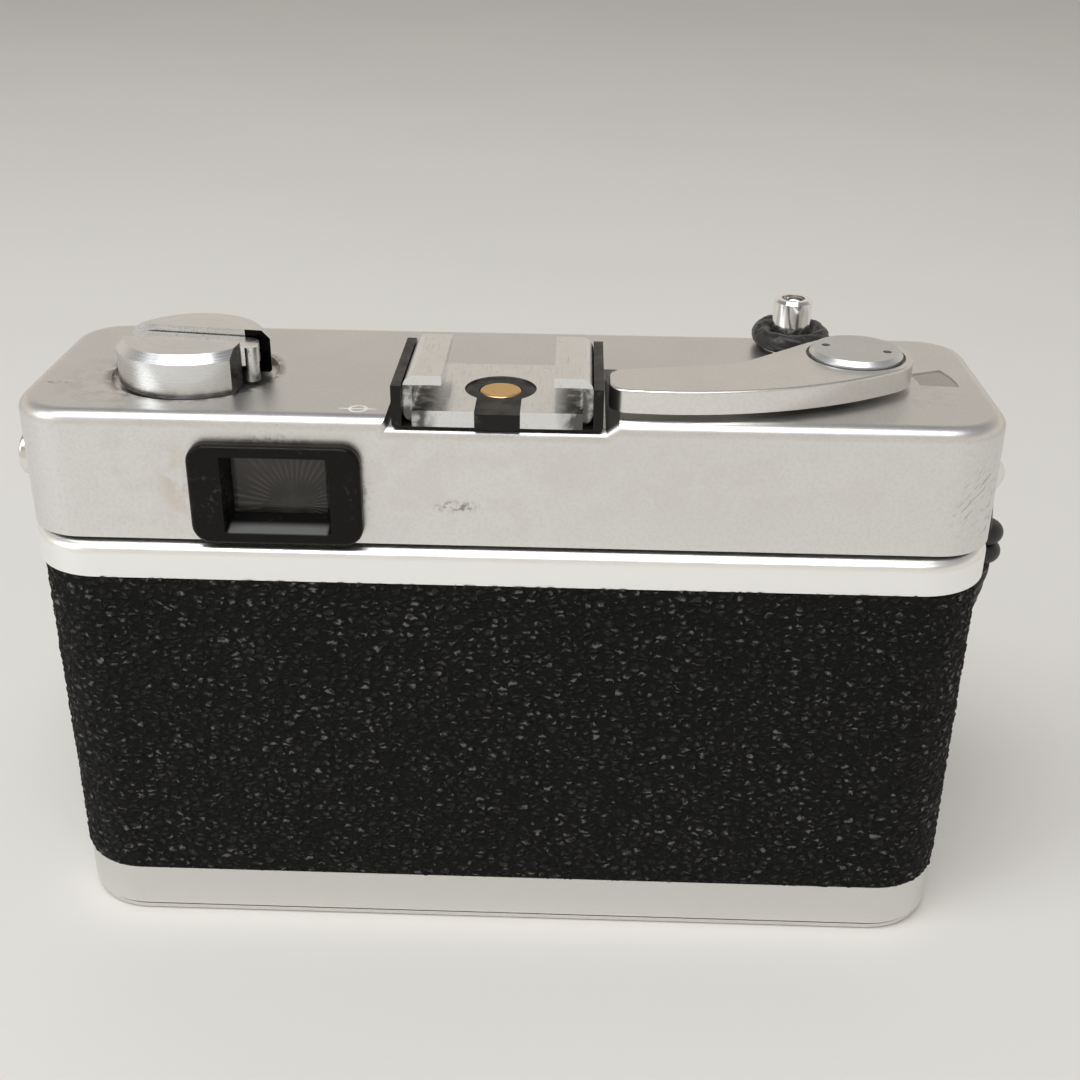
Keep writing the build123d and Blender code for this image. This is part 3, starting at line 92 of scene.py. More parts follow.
# ---- Node materials ------------------------------------------------------------------------
class Paint:
    """A node material built round one Principled shader, in the row frame's coordinates."""

    def __init__(self, name):
        self.material = bpy.data.materials.new(name)
        self.material.use_nodes = True
        self.tree = self.material.node_tree
        self.shader = self.tree.nodes["Principled BSDF"]
        self.place = self.tree.nodes.new("ShaderNodeTexCoord").outputs["Object"]

    def node(self, kind, **sockets):
        made = self.tree.nodes.new(kind)
        for key, value in sockets.items():
            self.feed(made.inputs[key.replace("_", " ")], value)
        return made

    def feed(self, socket, value):
        if isinstance(value, bpy.types.NodeSocket):
            self.tree.links.new(value, socket)
        else:
            socket.default_value = value

    def math(self, operation, a, b=0.0, clamp=False):
        made = self.tree.nodes.new("ShaderNodeMath")
        made.operation = operation
        made.use_clamp = clamp
        self.feed(made.inputs[0], a)
        self.feed(made.inputs[1], b)
        return made.outputs[0]

    def vector(self, operation, *values):
        made = self.tree.nodes.new("ShaderNodeVectorMath")
        made.operation = operation
        for socket, value in zip(made.inputs, values):
            self.feed(socket, value)
        return made.outputs

    def split(self):
        """The X, Y and Z coordinates."""
        return self.node("ShaderNodeSeparateXYZ", Vector=self.place).outputs

    def turned_place(self, location=(0, 0, 0), rotation=(0, 0, 0), scale=(1, 1, 1)):
        """The coordinates in a frame that is moved (in mm), turned (in degrees) and scaled."""
        made = self.tree.nodes.new("ShaderNodeMapping")
        made.vector_type = "TEXTURE"
        self.feed(made.inputs["Vector"], self.place)
        self.feed(made.inputs["Location"], tuple(v * MM for v in location))
        self.feed(made.inputs["Rotation"], tuple(radians(v) for v in rotation))
        self.feed(made.inputs["Scale"], scale)
        return made.outputs[0]

    def away(self, axis_at):
        """Distance from a vertical axis at (x, y) in mm."""
        place = self.split()
        dx = self.math("SUBTRACT", place[0], axis_at[0] * MM)
        dy = self.math("SUBTRACT", place[1], axis_at[1] * MM)
        return self.math("SQRT", self.math("ADD", self.math("MULTIPLY", dx, dx), self.math("MULTIPLY", dy, dy)))

    def noise(self, size_mm, detail=3.0, stretch=None, warp=0.0, at=None):
        """Noise from 0 to 1 whose features are about size_mm across."""
        source = at if at is not None else self.place
        if stretch:
            source = self.vector("MULTIPLY", source, stretch)[0]
        made = self.node("ShaderNodeTexNoise", Vector=source, Scale=1000.0 / size_mm, Detail=detail,
                         Distortion=warp)
        return made.outputs["Fac"]

    def ramp(self, value, low, high, to_low=0.0, to_high=1.0):
        made = self.tree.nodes.new("ShaderNodeMapRange")
        made.interpolation_type = "SMOOTHSTEP"
        for index, number in enumerate((value, low, high, to_low, to_high)):
            self.feed(made.inputs[index], number)
        return made.outputs[0]

    def mix(self, share, a, b):
        made = self.tree.nodes.new("ShaderNodeMix")
        made.data_type = "RGBA"
        for socket, value in ((made.inputs[0], share), (made.inputs[6], a), (made.inputs[7], b)):
            self.feed(socket, (*value, 1.0) if isinstance(value, tuple) else value)
        return made.outputs[2]

    def bump(self, height, depth_mm, after=None):
        made = self.tree.nodes.new("ShaderNodeBump")
        self.feed(made.inputs["Height"], height)
        made.inputs["Distance"].default_value = depth_mm * MM
        made.inputs["Strength"].default_value = 1.0
        if after:
            self.tree.links.new(after, made.inputs["Normal"])
        return made.outputs["Normal"]

    def spot(self, centre, radius, soft=0.5, squeeze=(1, 1, 1)):
        """1 within a blob about a point in mm, 0 outside."""
        moved = self.vector("SUBTRACT", self.place, Vector(centre) * MM)[0]
        pressed = self.vector("MULTIPLY", moved, squeeze)[0]
        far = self.vector("LENGTH", pressed)["Value"]
        return self.ramp(far, radius * (1 - soft) * MM, radius * (1 + soft) * MM, 1.0, 0.0)

    def band(self, axis, centre, half, soft):
        """1 where the X, Y or Z coordinate in mm is within half of the centre."""
        away = self.math("ABSOLUTE", self.math("SUBTRACT", self.split()[axis], centre * MM))
        return self.ramp(away, (half - soft) * MM, (half + soft) * MM, 1.0, 0.0)

    def finish(self, color, rough, metal=0.0, normal=None, **extra):
        self.feed(self.shader.inputs["Base Color"], (*color, 1.0) if isinstance(color, tuple) else color)
        self.feed(self.shader.inputs["Roughness"], rough)
        self.shader.inputs["Metallic"].default_value = metal
        if normal:
            self.tree.links.new(normal, self.shader.inputs["Normal"])
        for key, value in extra.items():
            self.feed(self.shader.inputs[key.replace("_", " ")], value)
        return self.material


def satin(name, color, rough, grain=0.16, depth=0.003, specks=0.35, stains=(), dirt_and_painted_light=(), lit=()):
    """Bead-blasted plate: fine grain, a few dark specks, and stains, marks and painted highlights at given
    places.
    """
    p = Paint(name)
    base = p.mix(p.ramp(p.noise(34, 3), 0.35, 0.7), color, tuple(c * 0.965 for c in color))
    base = p.mix(p.ramp(p.noise(0.42, 4), 0.42, 0.66, 0, 0.55), base, tuple(c * 0.90 for c in color))
    pits = p.math("MULTIPLY", p.ramp(p.noise(0.55, 2), 0.74, 0.78), p.ramp(p.noise(11, 2), 0.52, 0.62))
    base = p.mix(p.math("MULTIPLY", pits, specks), base, (0.14, 0.115, 0.095))
    for centre, radius, squeeze, shade, share, size in stains:
        broken = p.ramp(p.noise(size, 5, warp=0.6), 0.44, 0.62)
        patch = p.math("MULTIPLY", p.spot(centre, radius, 0.6, squeeze), broken)
        base = p.mix(p.math("MULTIPLY", patch, share), base, shade)
    # Marks and grime, and any painted highlight or painted shade, go into the colour here.
    for mask, shade in dirt_and_painted_light:
        base = p.mix(mask(p), base, shade)
    rougher = p.ramp(p.noise(6, 4), 0.3, 0.75, rough - 0.02, rough + 0.025)
    made = p.finish(base, rougher, 1.0, p.bump(p.noise(grain, 2), depth))
    for mask in lit:
        p.feed(p.shader.inputs["Metallic"], p.math("SUBTRACT", 1.0, mask(p), True))
    return made


def turned(name, color, rough, axis_at, depth=0.004, wear=0.35, dirt_and_painted_light=()):
    """Lathe-turned metal: fine rings about a vertical axis at (x, y) in mm."""
    p = Paint(name)
    lathe = p.node("ShaderNodeCombineXYZ", X=p.away(axis_at), Y=p.split()[2])
    rings = p.noise(0.12, 3, at=lathe.outputs[0])
    base = p.mix(p.ramp(p.noise(7, 4), 0.35, 0.7), color, tuple(c * 0.94 for c in color))
    base = p.mix(p.ramp(p.noise(0.6, 5), 0.64, 0.75, 0, wear), base, (0.20, 0.17, 0.14))
    for mask, shade in dirt_and_painted_light:
        base = p.mix(mask(p), base, shade)
    rougher = p.ramp(rings, 0.3, 0.7, rough - 0.05, rough + 0.06)
    return p.finish(base, rougher, 1.0, p.bump(rings, depth))


def worn_sheet(name, color, rough, dirt_and_painted_light=(), wear=1.0):
    """Plated sheet metal with scratches along it; wear scales its brown spots, grease and dents."""
    p = Paint(name)
    scratch = p.noise(0.22, 4, stretch=(1.0, 0.06, 1.0))
    base = p.mix(p.ramp(scratch, 0.55, 0.72, 0, 0.45), color, tuple(c * 0.6 for c in color))
    spots = p.ramp(p.noise(0.8, 5), 0.62, 0.70)
    spots = p.math("MULTIPLY", spots, p.ramp(p.noise(5, 3), 0.44, 0.62, 0, wear))
    base = p.mix(spots, base, (0.22, 0.19, 0.16))
    # Marks and grime, and any painted highlight or painted shade, go into the colour here.
    for mask, shade in dirt_and_painted_light:
        base = p.mix(mask(p), base, shade)
    rougher = p.ramp(p.noise(1.4, 5), 0.3, 0.75, rough - 0.06 * wear, rough + 0.12 * wear)
    normal = p.bump(scratch, 0.005)
    return p.finish(base, rougher, 1.0, p.bump(p.noise(0.5, 4), 0.007 * wear, normal))


def moulded(name, color, rough, wear=0.25, lit=(), shine=0.28):
    """Black moulding: slight grain, dust and pale rubbed patches."""
    p = Paint(name)
    rub = p.math("MULTIPLY", p.ramp(p.noise(0.7, 5), 0.55, 0.72), p.ramp(p.noise(4.5, 3), 0.48, 0.66))
    base = p.mix(p.math("MULTIPLY", rub, wear), color, (0.20, 0.185, 0.17))
    dust = p.ramp(p.noise(0.22, 2), 0.74, 0.79, 0, wear)
    base = p.mix(dust, base, (0.34, 0.33, 0.31))
    # Each mask in lit paints a highlight colour onto the moulding.
    for mask, shade in lit:
        base = p.mix(mask(p), base, shade)
    rougher = p.ramp(p.noise(2.2, 4), 0.3, 0.72, rough - 0.08, rough + 0.12)
    return p.finish(base, rougher, 0.0, p.bump(p.noise(0.35, 3), 0.006), Specular_IOR_Level=shine)


def painted_sill_highlight(p):
    """Painted highlight on the lower slope inside the eyepiece, which is rubbed glossy."""
    place = p.split()
    below_glass = p.ramp(place[2], 56.75 * MM, 56.95 * MM, 1.0, 0.0)
    rear = p.ramp(place[1], 15.9 * MM, 17.2 * MM)
    inside = p.band(0, 26.1, 5.7, 0.2)
    above_rim = p.ramp(place[2], 55.7 * MM, 56.0 * MM)
    slope = p.math("MULTIPLY", p.math("MULTIPLY", below_glass, rear), inside)
    return p.math("MULTIPLY", slope, p.math("MULTIPLY", above_rim, 0.8))


def anodised(name, color, rough, ticks=()):
    """Black anodising on a part turned about the lens axis, with rings of white index marks."""
    p = Paint(name)
    rings = p.noise(0.14, 3, stretch=(0.05, 1.0, 0.05))
    base = p.mix(p.ramp(p.noise(1.1, 5), 0.62, 0.74, 0, 0.4), color, tuple(c + 0.06 for c in color))
    if ticks:
        place = p.split()
        turn = p.math("ARCTAN2", place[0], p.math("SUBTRACT", place[2], LENS_Z * MM))
        for count, low, high, wide in ticks:
            part = p.math("FRACT", p.math("ADD", p.math("MULTIPLY", turn, count / (2 * pi)), 40.5))
            mark = p.ramp(p.math("ABSOLUTE", p.math("SUBTRACT", part, 0.5)), wide, wide * 1.3, 1.0, 0.0)
            mark = p.math("MULTIPLY", mark, p.band(1, (low + high) / 2, (high - low) / 2, 0.03))
            base = p.mix(mark, base, (0.72, 0.72, 0.70))
    return p.finish(base, p.ramp(rings, 0.3, 0.7, rough - 0.05, rough + 0.07), 0.0, p.bump(rings, 0.004))


def hide(name):
    """Black leatherette: pebbles longer than high, painted shade in the creases between them, and glossy tops
    with painted glints.
    """
    p = Paint(name)
    wander = p.node("ShaderNodeTexNoise", Vector=p.place, Scale=1100.0, Detail=2.0)
    bent = p.vector("MULTIPLY_ADD", wander.outputs["Color"], (0.0011, 0.0011, 0.0011), p.place)[0]
    flat = p.vector("MULTIPLY", bent, (0.72, 0.72, 1.25))[0]
    cells = p.node("ShaderNodeTexVoronoi", Vector=flat, Scale=1000.0)
    cells.feature = "DISTANCE_TO_EDGE"
    dome = p.ramp(cells.outputs["Distance"], 0.02, 0.34)
    pores = p.noise(0.26, 4)
    lump = p.ramp(p.noise(1.1, 3), 0.3, 0.7)
    height = p.math("ADD", p.math("MULTIPLY", dome, p.math("ADD", p.math("MULTIPLY", lump, 0.7), 0.3)),
                    p.math("MULTIPLY", pores, 0.22))
    # Painted shade: the creases are coloured near black and the pebble tops lighter.
    base = p.mix(p.ramp(height, 0.15, 0.85), (0.0010, 0.0010, 0.0011), (0.0125, 0.0125, 0.0122))
    # Painted glints: a pale grey colour on the highest pebble tops.
    painted_glint = p.math("MULTIPLY", p.ramp(height, 0.62, 0.95), p.ramp(p.noise(0.8, 3), 0.45, 0.57))
    base = p.mix(p.math("MULTIPLY", painted_glint, 0.62), base, (0.175, 0.176, 0.172))
    rougher = p.ramp(height, 0.2, 0.9, 0.75, 0.30)
    return p.finish(base, rougher, 0.0, p.bump(height, 0.42), Specular_IOR_Level=0.22)


def clear(name, color, rough, alpha):
    """Coated glass or plastic with a few smears."""
    p = Paint(name)
    smear = p.ramp(p.noise(2.4, 4), 0.4, 0.75, rough, rough + 0.10)
    return p.finish(color, smear, 0.0, p.bump(p.noise(1.2, 2), 0.002), Alpha=alpha, Coat_Weight=1.0,
                    Coat_Roughness=0.04)


def knob_grime(p):
    """Brown grime in the groove round the rewind knob."""
    ring = p.spot((*KNOB_AT, TOP_Z), 10.5, 0.06, (1, 1, 0.3))
    inside = p.spot((*KNOB_AT, TOP_Z), 9.4, 0.02, (1, 1, 0.3))
    rim = p.math("SUBTRACT", ring, inside, True)
    return p.math("MULTIPLY", p.math("MULTIPLY", rim, p.ramp(p.noise(1.6, 4), 0.36, 0.60)), 0.65)


def knob_notch(p):
    """Near-black colour inside the notch in the knob's rim."""
    along = p.node("ShaderNodeSeparateXYZ", Vector=p.turned_place((*KNOB_AT, 0.0), (0.0, 0.0, -7.0))).outputs
    inner_end = p.math("MULTIPLY", p.ramp(along[0], -5.56 * MM, -5.54 * MM, 1.0, 0.0),
                       p.ramp(p.math("ABSOLUTE", along[1]), 2.46 * MM, 2.48 * MM, 1.0, 0.0))
    near_cut = p.math("MULTIPLY", p.ramp(along[0], -6.69 * MM, -6.67 * MM, 1.0, 0.0),
                      p.ramp(along[1], -2.48 * MM, -2.46 * MM))
    return p.math("MAXIMUM", inner_end, near_cut)


def knob_halo(p):
    """Faint brown tint on the plate beside the groove, towards the rear left."""
    patch = p.spot((43.0, 6.0, TOP_Z), 9.0, 0.5, (1, 1, 0.3))
    return p.math("MULTIPLY", p.math("MULTIPLY", patch, p.ramp(p.noise(2.4, 4), 0.42, 0.66)), 0.22)


def eyepiece_grime(p):
    """Grime and rubbing just outside the eyepiece."""
    patch = p.spot((26.2, REAR_Y, 60.5), 10.7, 0.08, (1, 0.4, 1.55))
    return p.math("MULTIPLY", p.math("MULTIPLY", patch, p.ramp(p.noise(0.7, 5), 0.47, 0.62)), 0.34)


def eyepiece_tint(p):
    """Yellowed lacquer on the left of the eyepiece."""
    patch = p.spot((37.6, REAR_Y, 61.0), 2.0, 0.8, (1, 0.4, 0.5))
    return p.math("MULTIPLY", p.math("MULTIPLY", patch, p.ramp(p.noise(1.8, 4), 0.36, 0.6)), 0.35)


def painted_top_band_highlight(p):
    """Painted highlight: the door's upper band is coloured brighter."""
    return p.band(2, 52.0, 2.3, 0.1)


def base_band(p):
    """The lower band is duller."""
    return p.band(2, 3.0, 4.2, 0.3)


def scuffs(p):
    """Thin diagonal rubs at the end of the cover."""
    slanted = p.turned_place(rotation=(0.0, -38.0, 0.0), scale=(1.0, 2.5, 5.0))
    lines = p.ramp(p.noise(0.30, 4, at=slanted), 0.56, 0.66)
    patch = p.spot((-54.4, 13.8, 60.0), 3.4, 0.6, (0.9, 0.9, 0.75))
    return p.math("MULTIPLY", p.math("MULTIPLY", lines, patch), 0.5)


def film_mark(p):
    """White film plane mark: a small circle crossed by a line."""
    off_circle = p.math("ABSOLUTE", p.math("SUBTRACT", p.away(FILM_MARK_AT), 0.95 * MM))
    circle = p.ramp(off_circle, 0.10 * MM, 0.17 * MM, 1.0, 0.0)
    line = p.math("MULTIPLY", p.band(1, FILM_MARK_AT[1], 0.12, 0.04), p.band(0, FILM_MARK_AT[0], 2.1, 0.1))
    mark = p.math("MAXIMUM", circle, line)
    worn = p.ramp(p.noise(0.5, 4), 0.30, 0.42)
    return p.math("MULTIPLY", p.math("MULTIPLY", mark, worn), p.band(2, TOP_Z, 0.1, 0.05))


def shade_and_grease_under_lips(p):
    """Painted shade with grease and grime on the shoe's floor, where the lips of the shoe shade it."""
    place = p.split()
    aside = p.math("ABSOLUTE", p.math("SUBTRACT", place[0], SHOE_X * MM))
    side = p.ramp(aside, 6.3 * MM, 8.4 * MM)
    low = p.ramp(place[2], 73.15 * MM, 73.3 * MM, 1.0, 0.0)
    patch = p.ramp(p.noise(1.5, 5), 0.34, 0.56, 0.35, 1.0)
    return p.math("MULTIPLY", p.math("MULTIPLY", p.math("MULTIPLY", side, low), patch), 0.88)


BROWN = (0.12, 0.075, 0.045)
GREY = (0.16, 0.15, 0.14)
SILVER = (0.80, 0.795, 0.785)
# Each stain: centre in mm, radius in mm, squeeze, colour, share of the colour, size of its noise in mm.
cover_stains = (
    ((5.8, REAR_Y, 59.1), 1.3, (0.6, 1, 2.0), (0.16, 0.14, 0.115), 0.75, 0.7),
    ((12.7, REAR_Y, 56.3), 0.35, (1, 1, 1), (0.2, 0.17, 0.15), 0.5, 3.0),
    ((5.0, REAR_Y, 62.0), 9.0, (0.45, 1, 1.3), (0.70, 0.67, 0.63), 0.3, 3.5),
    ((-24.0, REAR_Y, 63.0), 8.0, (0.35, 1, 2.0), (0.70, 0.67, 0.64), 0.3, 3.0),
    ((-47.5, -3.0, TOP_Z), 1.0, (1, 1, 1), (0.25, 0.22, 0.19), 0.6, 0.6),
    ((-48.6, 5.1, TOP_Z), 4.0, (1, 1, 1), (0.58, 0.55, 0.50), 0.3, 1.4),
    ((53.4, 6.9, TOP_Z), 0.9, (0.6, 2.4, 1), (0.24, 0.19, 0.15), 0.7, 0.8),
)
door_stains = (
    ((-35.0, DOOR_Y, 52.2), 9.0, (0.35, 1, 1), (0.66, 0.63, 0.60), 0.3, 1.6),
    ((27.0, DOOR_Y, 4.5), 1.6, (0.8, 1, 1), (0.50, 0.47, 0.44), 0.4, 0.9),
    ((-46.0, 17.0, 4.0), 6.0, (0.4, 1, 1), (0.62, 0.59, 0.55), 0.3, 1.4),
)
looks = {
    "top_cover": satin("cover_satin", (0.78, 0.775, 0.765), 0.36, stains=cover_stains,
                       dirt_and_painted_light=((knob_halo, BROWN), (knob_grime, BROWN), (eyepiece_tint, (0.55, 0.42, 0.28)),
                             (eyepiece_grime, BROWN), (scuffs, GREY), (film_mark, (0.86, 0.85, 0.83))),
                       lit=(film_mark,)),
    # The door's upper band gets a painted highlight colour.
    "back_door": satin("door_satin", SILVER, 0.34, stains=door_stains,
                       dirt_and_painted_light=((painted_top_band_highlight, (0.97, 0.975, 0.97)), (base_band, (0.71, 0.705, 0.685)))),
    "front_shell": satin("shell_satin", SILVER, 0.36),
    "base_plate": satin("base_satin", (0.74, 0.725, 0.70), 0.40, specks=0.6, stains=(
        ((10.0, 0.0, 0.0), 14.0, (1, 1, 1), (0.42, 0.40, 0.37), 0.4, 2.0),)),
    "battery_cover": turned("battery_turned", (0.72, 0.71, 0.69), 0.32, BATTERY_AT, 0.006, 0.4),
    "rewind_knob": turned("knob_turned", (0.77, 0.775, 0.78), 0.27, KNOB_AT, wear=0.15,
                          dirt_and_painted_light=((knob_notch, (0.012, 0.011, 0.010)),)),
    "rewind_crank": worn_sheet("crank_plate", (0.84, 0.85, 0.86), 0.24),
    "wind_lever": satin("lever_satin", (0.81, 0.80, 0.785), 0.32, depth=0.002, specks=0.3),
    "lever_screw": turned("lever_disc", (0.70, 0.715, 0.72), 0.36, LEVER_AT, 0.002, 0.12),
    "shutter_button": turned("button_turned", (0.86, 0.855, 0.85), 0.10, BUTTON_AT, 0.002, 0.15),
    # The shoe's floor under its lips gets painted shade mixed with grease.
    "accessory_shoe": worn_sheet("shoe_sheet", (0.76, 0.77, 0.775), 0.20,
                                 dirt_and_painted_light=((shade_and_grease_under_lips, (0.035, 0.030, 0.025)),), wear=0.35),
    "shoe_contact": turned("contact_gold", (0.84, 0.54, 0.22), 0.36, CONTACT_AT, 0.003, 0.35),
    "lens_flange": turned("flange_turned", (0.80, 0.79, 0.77), 0.28, LENS_AT, 0.003, 0.2),
    "tripod_bush": turned("bush_brass", (0.72, 0.66, 0.52), 0.3, LENS_AT, 0.006, 0.4),
    "hide": hide("leatherette"),
}
black = moulded("black_moulding", (0.010, 0.0095, 0.009), 0.36, wear=0.18, shine=0.2)
soft_black = moulded("matt_moulding", (0.012, 0.012, 0.012), 0.62, wear=0.12)
# The lower slope inside the eyepiece gets a painted highlight colour.
eye_black = moulded("eyepiece_moulding", (0.0065, 0.006, 0.0058), 0.30, wear=0.14,
                    lit=((painted_sill_highlight, (0.17, 0.175, 0.18)),), shine=0.12)
inner = anodised("inner_black", (0.016, 0.016, 0.017), 0.6)
ano = anodised("lens_black", (0.014, 0.014, 0.0155), 0.36)
focus_black = anodised("focus_black", (0.014, 0.014, 0.0155), 0.34, ((36, -23.3, -22.4, 0.05),))
speed_black = anodised("exposure_black", (0.014, 0.014, 0.0155), 0.34, ((24, -18.7, -17.8, 0.05),))
cast = satin("cast_alloy", (0.40, 0.40, 0.405), 0.5, grain=0.5, depth=0.02, specks=0.6)
steel = worn_sheet("bare_steel", (0.62, 0.62, 0.63), 0.3)
small_chrome = satin("small_chrome", (0.80, 0.79, 0.775), 0.24, specks=0.3)
case = moulded("meter_case", (0.05, 0.05, 0.052), 0.45)
red = moulded("meter_red", (0.45, 0.03, 0.02), 0.4, wear=0.1)
lens_glass = clear("coated_glass", (0.20, 0.16, 0.30), 0.02, 0.42)
window_glass = clear("window_glass", (0.10, 0.11, 0.13), 0.03, 0.45)
smoke = clear("smoked_window", (0.19, 0.175, 0.165), 0.14, 0.92)
frost = clear("frosted_window", (0.62, 0.66, 0.68), 0.35, 0.75)


def finder_look():
    """Dark eyepiece glass with a painted reflection of faint streaks that fan out from its lower edge, over
    painted light that lightens the glass towards its top.
    """
    p = Paint("eyepiece_glass")
    place = p.split()
    dx = p.math("SUBTRACT", place[0], 24.6 * MM)
    dz = p.math("SUBTRACT", place[2], 57.9 * MM)
    turn = p.math("ARCTAN2", dx, dz)
    fan = p.math("SINE", p.math("MULTIPLY", turn, 46.0))
    # Painted reflection: pale streaks fanning out from below the glass.
    painted_reflection_streaks = p.math("MULTIPLY", p.ramp(fan, -0.2, 0.9), p.ramp(p.noise(3.0, 3), 0.38, 0.6))
    # Painted light: the glass is coloured lighter towards its top.
    painted_light_towards_top = p.ramp(place[2], 57.6 * MM, 63.5 * MM)
    base = p.mix(painted_light_towards_top, (0.018, 0.0165, 0.0155), (0.050, 0.045, 0.041))
    base = p.mix(p.math("MULTIPLY", painted_reflection_streaks, 0.55), base, (0.105, 0.094, 0.086))
    return p.finish(base, 0.12, 0.0, None, Coat_Weight=0.2, Coat_Roughness=0.05, Specular_IOR_Level=0.3)


eye_glass = finder_look()

for name, made in {
    "shoe_base": black, "eyepiece_frame": eye_black, "window_bezel": black, "finder_tube": inner,
    "takeup_spool": soft_black, "film_sprocket": soft_black, "counter_dial": soft_black,
    "body_casting": cast, "top_deck": cast, "rocker_bracket": steel, "latch_collar": steel,
    "pressure_plate": inner, "front_barrel": ano, "focus_ring": focus_black, "exposure_ring": speed_black,
    "name_ring": ano, "lens_barrel": ano, "shutter_housing": inner, "timer_lever": small_chrome,
    "timer_boss": small_chrome, "shutter_blade_a": steel, "shutter_blade_b": steel,
    "release_rocker": steel, "wind_shaft": steel, "rewind_shaft": steel, "plate_spring": steel,
    "door_latch": steel, "rewind_release": small_chrome, "slotted_screws": small_chrome,
    "strap_lug": small_chrome, "sync_socket": small_chrome, "hinge_pin": small_chrome,
    "release_bush": small_chrome, "meter_movement": case, "meter_needle": red,
    "front_lens": lens_glass, "rear_lens": lens_glass, "finder_window": window_glass,
    "cds_cell": frost, "frameline_window": frost, "counter_window": smoke, "eyepiece_lens": eye_glass,
}.items():
    looks[name] = made


def dress(target, material):
    target.data.materials.clear()
    target.data.materials.append(material)


for name, node in nodes.items():
    if name in looks:
        dress(node, looks[name])


# ---- Mesh helpers --------------------------------------------------------------------------
def add_mesh(name, points, faces, material, body):
    """A smooth mesh that rides on a body."""
    data = bpy.data.meshes.new(name)
    data.from_pydata([tuple(p) for p in points], [], faces)
    data.validate()
    data.update()
    made = bpy.data.objects.new(name, data)
    bpy.context.scene.collection.objects.link(made)
    data.polygons.foreach_set("use_smooth", [True] * len(data.polygons))
    dress(made, material)
    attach(made, body)
    return made


# ---- Strap ---------------------------------------------------------------------------------
CORD_D = 2.4
STEP_ALONG = 0.16
POINTS_AROUND = 26
PLAITS = 8
PLAIT_PITCH = 3.0
PLAIT_DEPTH = 0.26
LOOP_X = -34.95
LOOP_Y = -12.2
LOOP_R = 3.75
LOOP_SIDE = LOOP_R * tan(radians(22.5))
CORD_Z = 71.1
cord_route = [
    (-61.0, -3.2, 43.6), (-61.0, -4.8, 39.2), (-60.9, -8.6, 32.6), (-61.0, -13.0, 24.4),
    (-60.0, -18.0, 15.2), (-55.2, -21.6, 7.6), (-46.0, -23.0, 6.9), (-40.6, -22.8, 13.6),
    (-37.0, -22.5, 25.5), (-33.8, -22.1, 39.0), (-31.9, -21.7, 51.0), (-32.2, -21.4, 60.6),
    (-33.3, -20.4, 67.4), (-33.4, -18.0, 71.0), (-32.2, -15.6, 71.2),
    (LOOP_X + LOOP_R, LOOP_Y - LOOP_SIDE, CORD_Z),
    (LOOP_X + LOOP_R, LOOP_Y + LOOP_SIDE, CORD_Z),
    (LOOP_X + LOOP_SIDE, LOOP_Y + LOOP_R, CORD_Z),
    (LOOP_X - LOOP_SIDE, LOOP_Y + LOOP_R, CORD_Z),
    (LOOP_X - LOOP_R, LOOP_Y + LOOP_SIDE, CORD_Z),
    (LOOP_X - LOOP_R, LOOP_Y - LOOP_SIDE, CORD_Z),
    (-37.8, -15.6, 71.2), (-36.5, -18.0, 71.0), (-36.6, -20.4, 67.2),
    (-39.0, -21.5, 59.6), (-41.0, -22.6, 48.0), (-43.6, -23.6, 37.6), (-45.9, -24.9, 30.7),
    (-50.4, -24.3, 24.2), (-55.5, -21.5, 22.0), (-60.3, -18.1, 24.2), (-61.6, -13.2, 29.7),
    (-61.0, -9.4, 37.0), (-60.7, -6.2, 43.6),
]
curve = bpy.data.curves.new("strap_line", "CURVE")
curve.dimensions = "3D"
curve.resolution_u = 12
spline = curve.splines.new("NURBS")
spline.points.add(len(cord_route) - 1)
for point, (x, y, z) in zip(spline.points, cord_route):
    point.co = (x * MM, y * MM, z * MM, 1.0)
spline.order_u = 3
spline.use_endpoint_u = True
line_object = bpy.data.objects.new("strap_line", curve)
bpy.context.scene.collection.objects.link(line_object)
line_mesh = bpy.data.meshes.new_from_object(line_object)
centre_line = [v.co.copy() for v in line_mesh.vertices]
bpy.data.objects.remove(line_object)


def even_steps(points, step):
    """The same line with points a fixed distance apart."""
    out = [points[0]]
    need = step
    for a, b in zip(points, points[1:]):
        run = (b - a).length
        while run >= need:
            a = a.lerp(b, need / run)
            out.append(a)
            run = (b - a).length
            need = step
        need -= run
    if (out[-1] - points[-1]).length > 0.2 * step:
        out.append(points[-1])
    return out


def braided_tube(name, points, radius, around, plaits, pitch, depth, material, body):
    """Tube with the relief of a round braid: two sets of strands that pass over and under."""
    tangents = [(points[min(i + 1, len(points) - 1)] - points[max(i - 1, 0)]).normalized()
                for i in range(len(points))]
    side = tangents[0].cross(Vector((0, 0, 1)))
    if side.length <= 0.1:
        side = tangents[0].cross(Vector((1, 0, 0)))
    side = side.normalized()
    verts = []
    faces = []
    length = 0.0
    for i, (p, t) in enumerate(zip(points, tangents)):
        if i:
            length += (p - points[i - 1]).length
        side = (side - t * side.dot(t)).normalized()
        other = t.cross(side)
        for k in range(around):
            angle = 2 * pi * k / around
            a = plaits * angle / 2 + 2 * pi * length / pitch
            b = plaits * angle / 2 - 2 * pi * length / pitch
            over = sin(a) * sin(b)
            first = abs(cos(a / 2 + pi / 4)) ** 0.7
            second = abs(cos(b / 2 + pi / 4)) ** 0.7
            lift = first if over > 0 else second
            r = radius - depth * (1 - lift)
            verts.append(p + side * (r * cos(angle)) + other * (r * sin(angle)))
    count = len(points)
    for i in range(count - 1):
        for k in range(around):
            n = (k + 1) % around
            faces.append((i * around + k, i * around + n, (i + 1) * around + n, (i + 1) * around + k))
    faces.append(tuple(range(around))[::-1])
    faces.append(tuple((count - 1) * around + k for k in range(around)))
    return add_mesh(name, verts, faces, material, body)


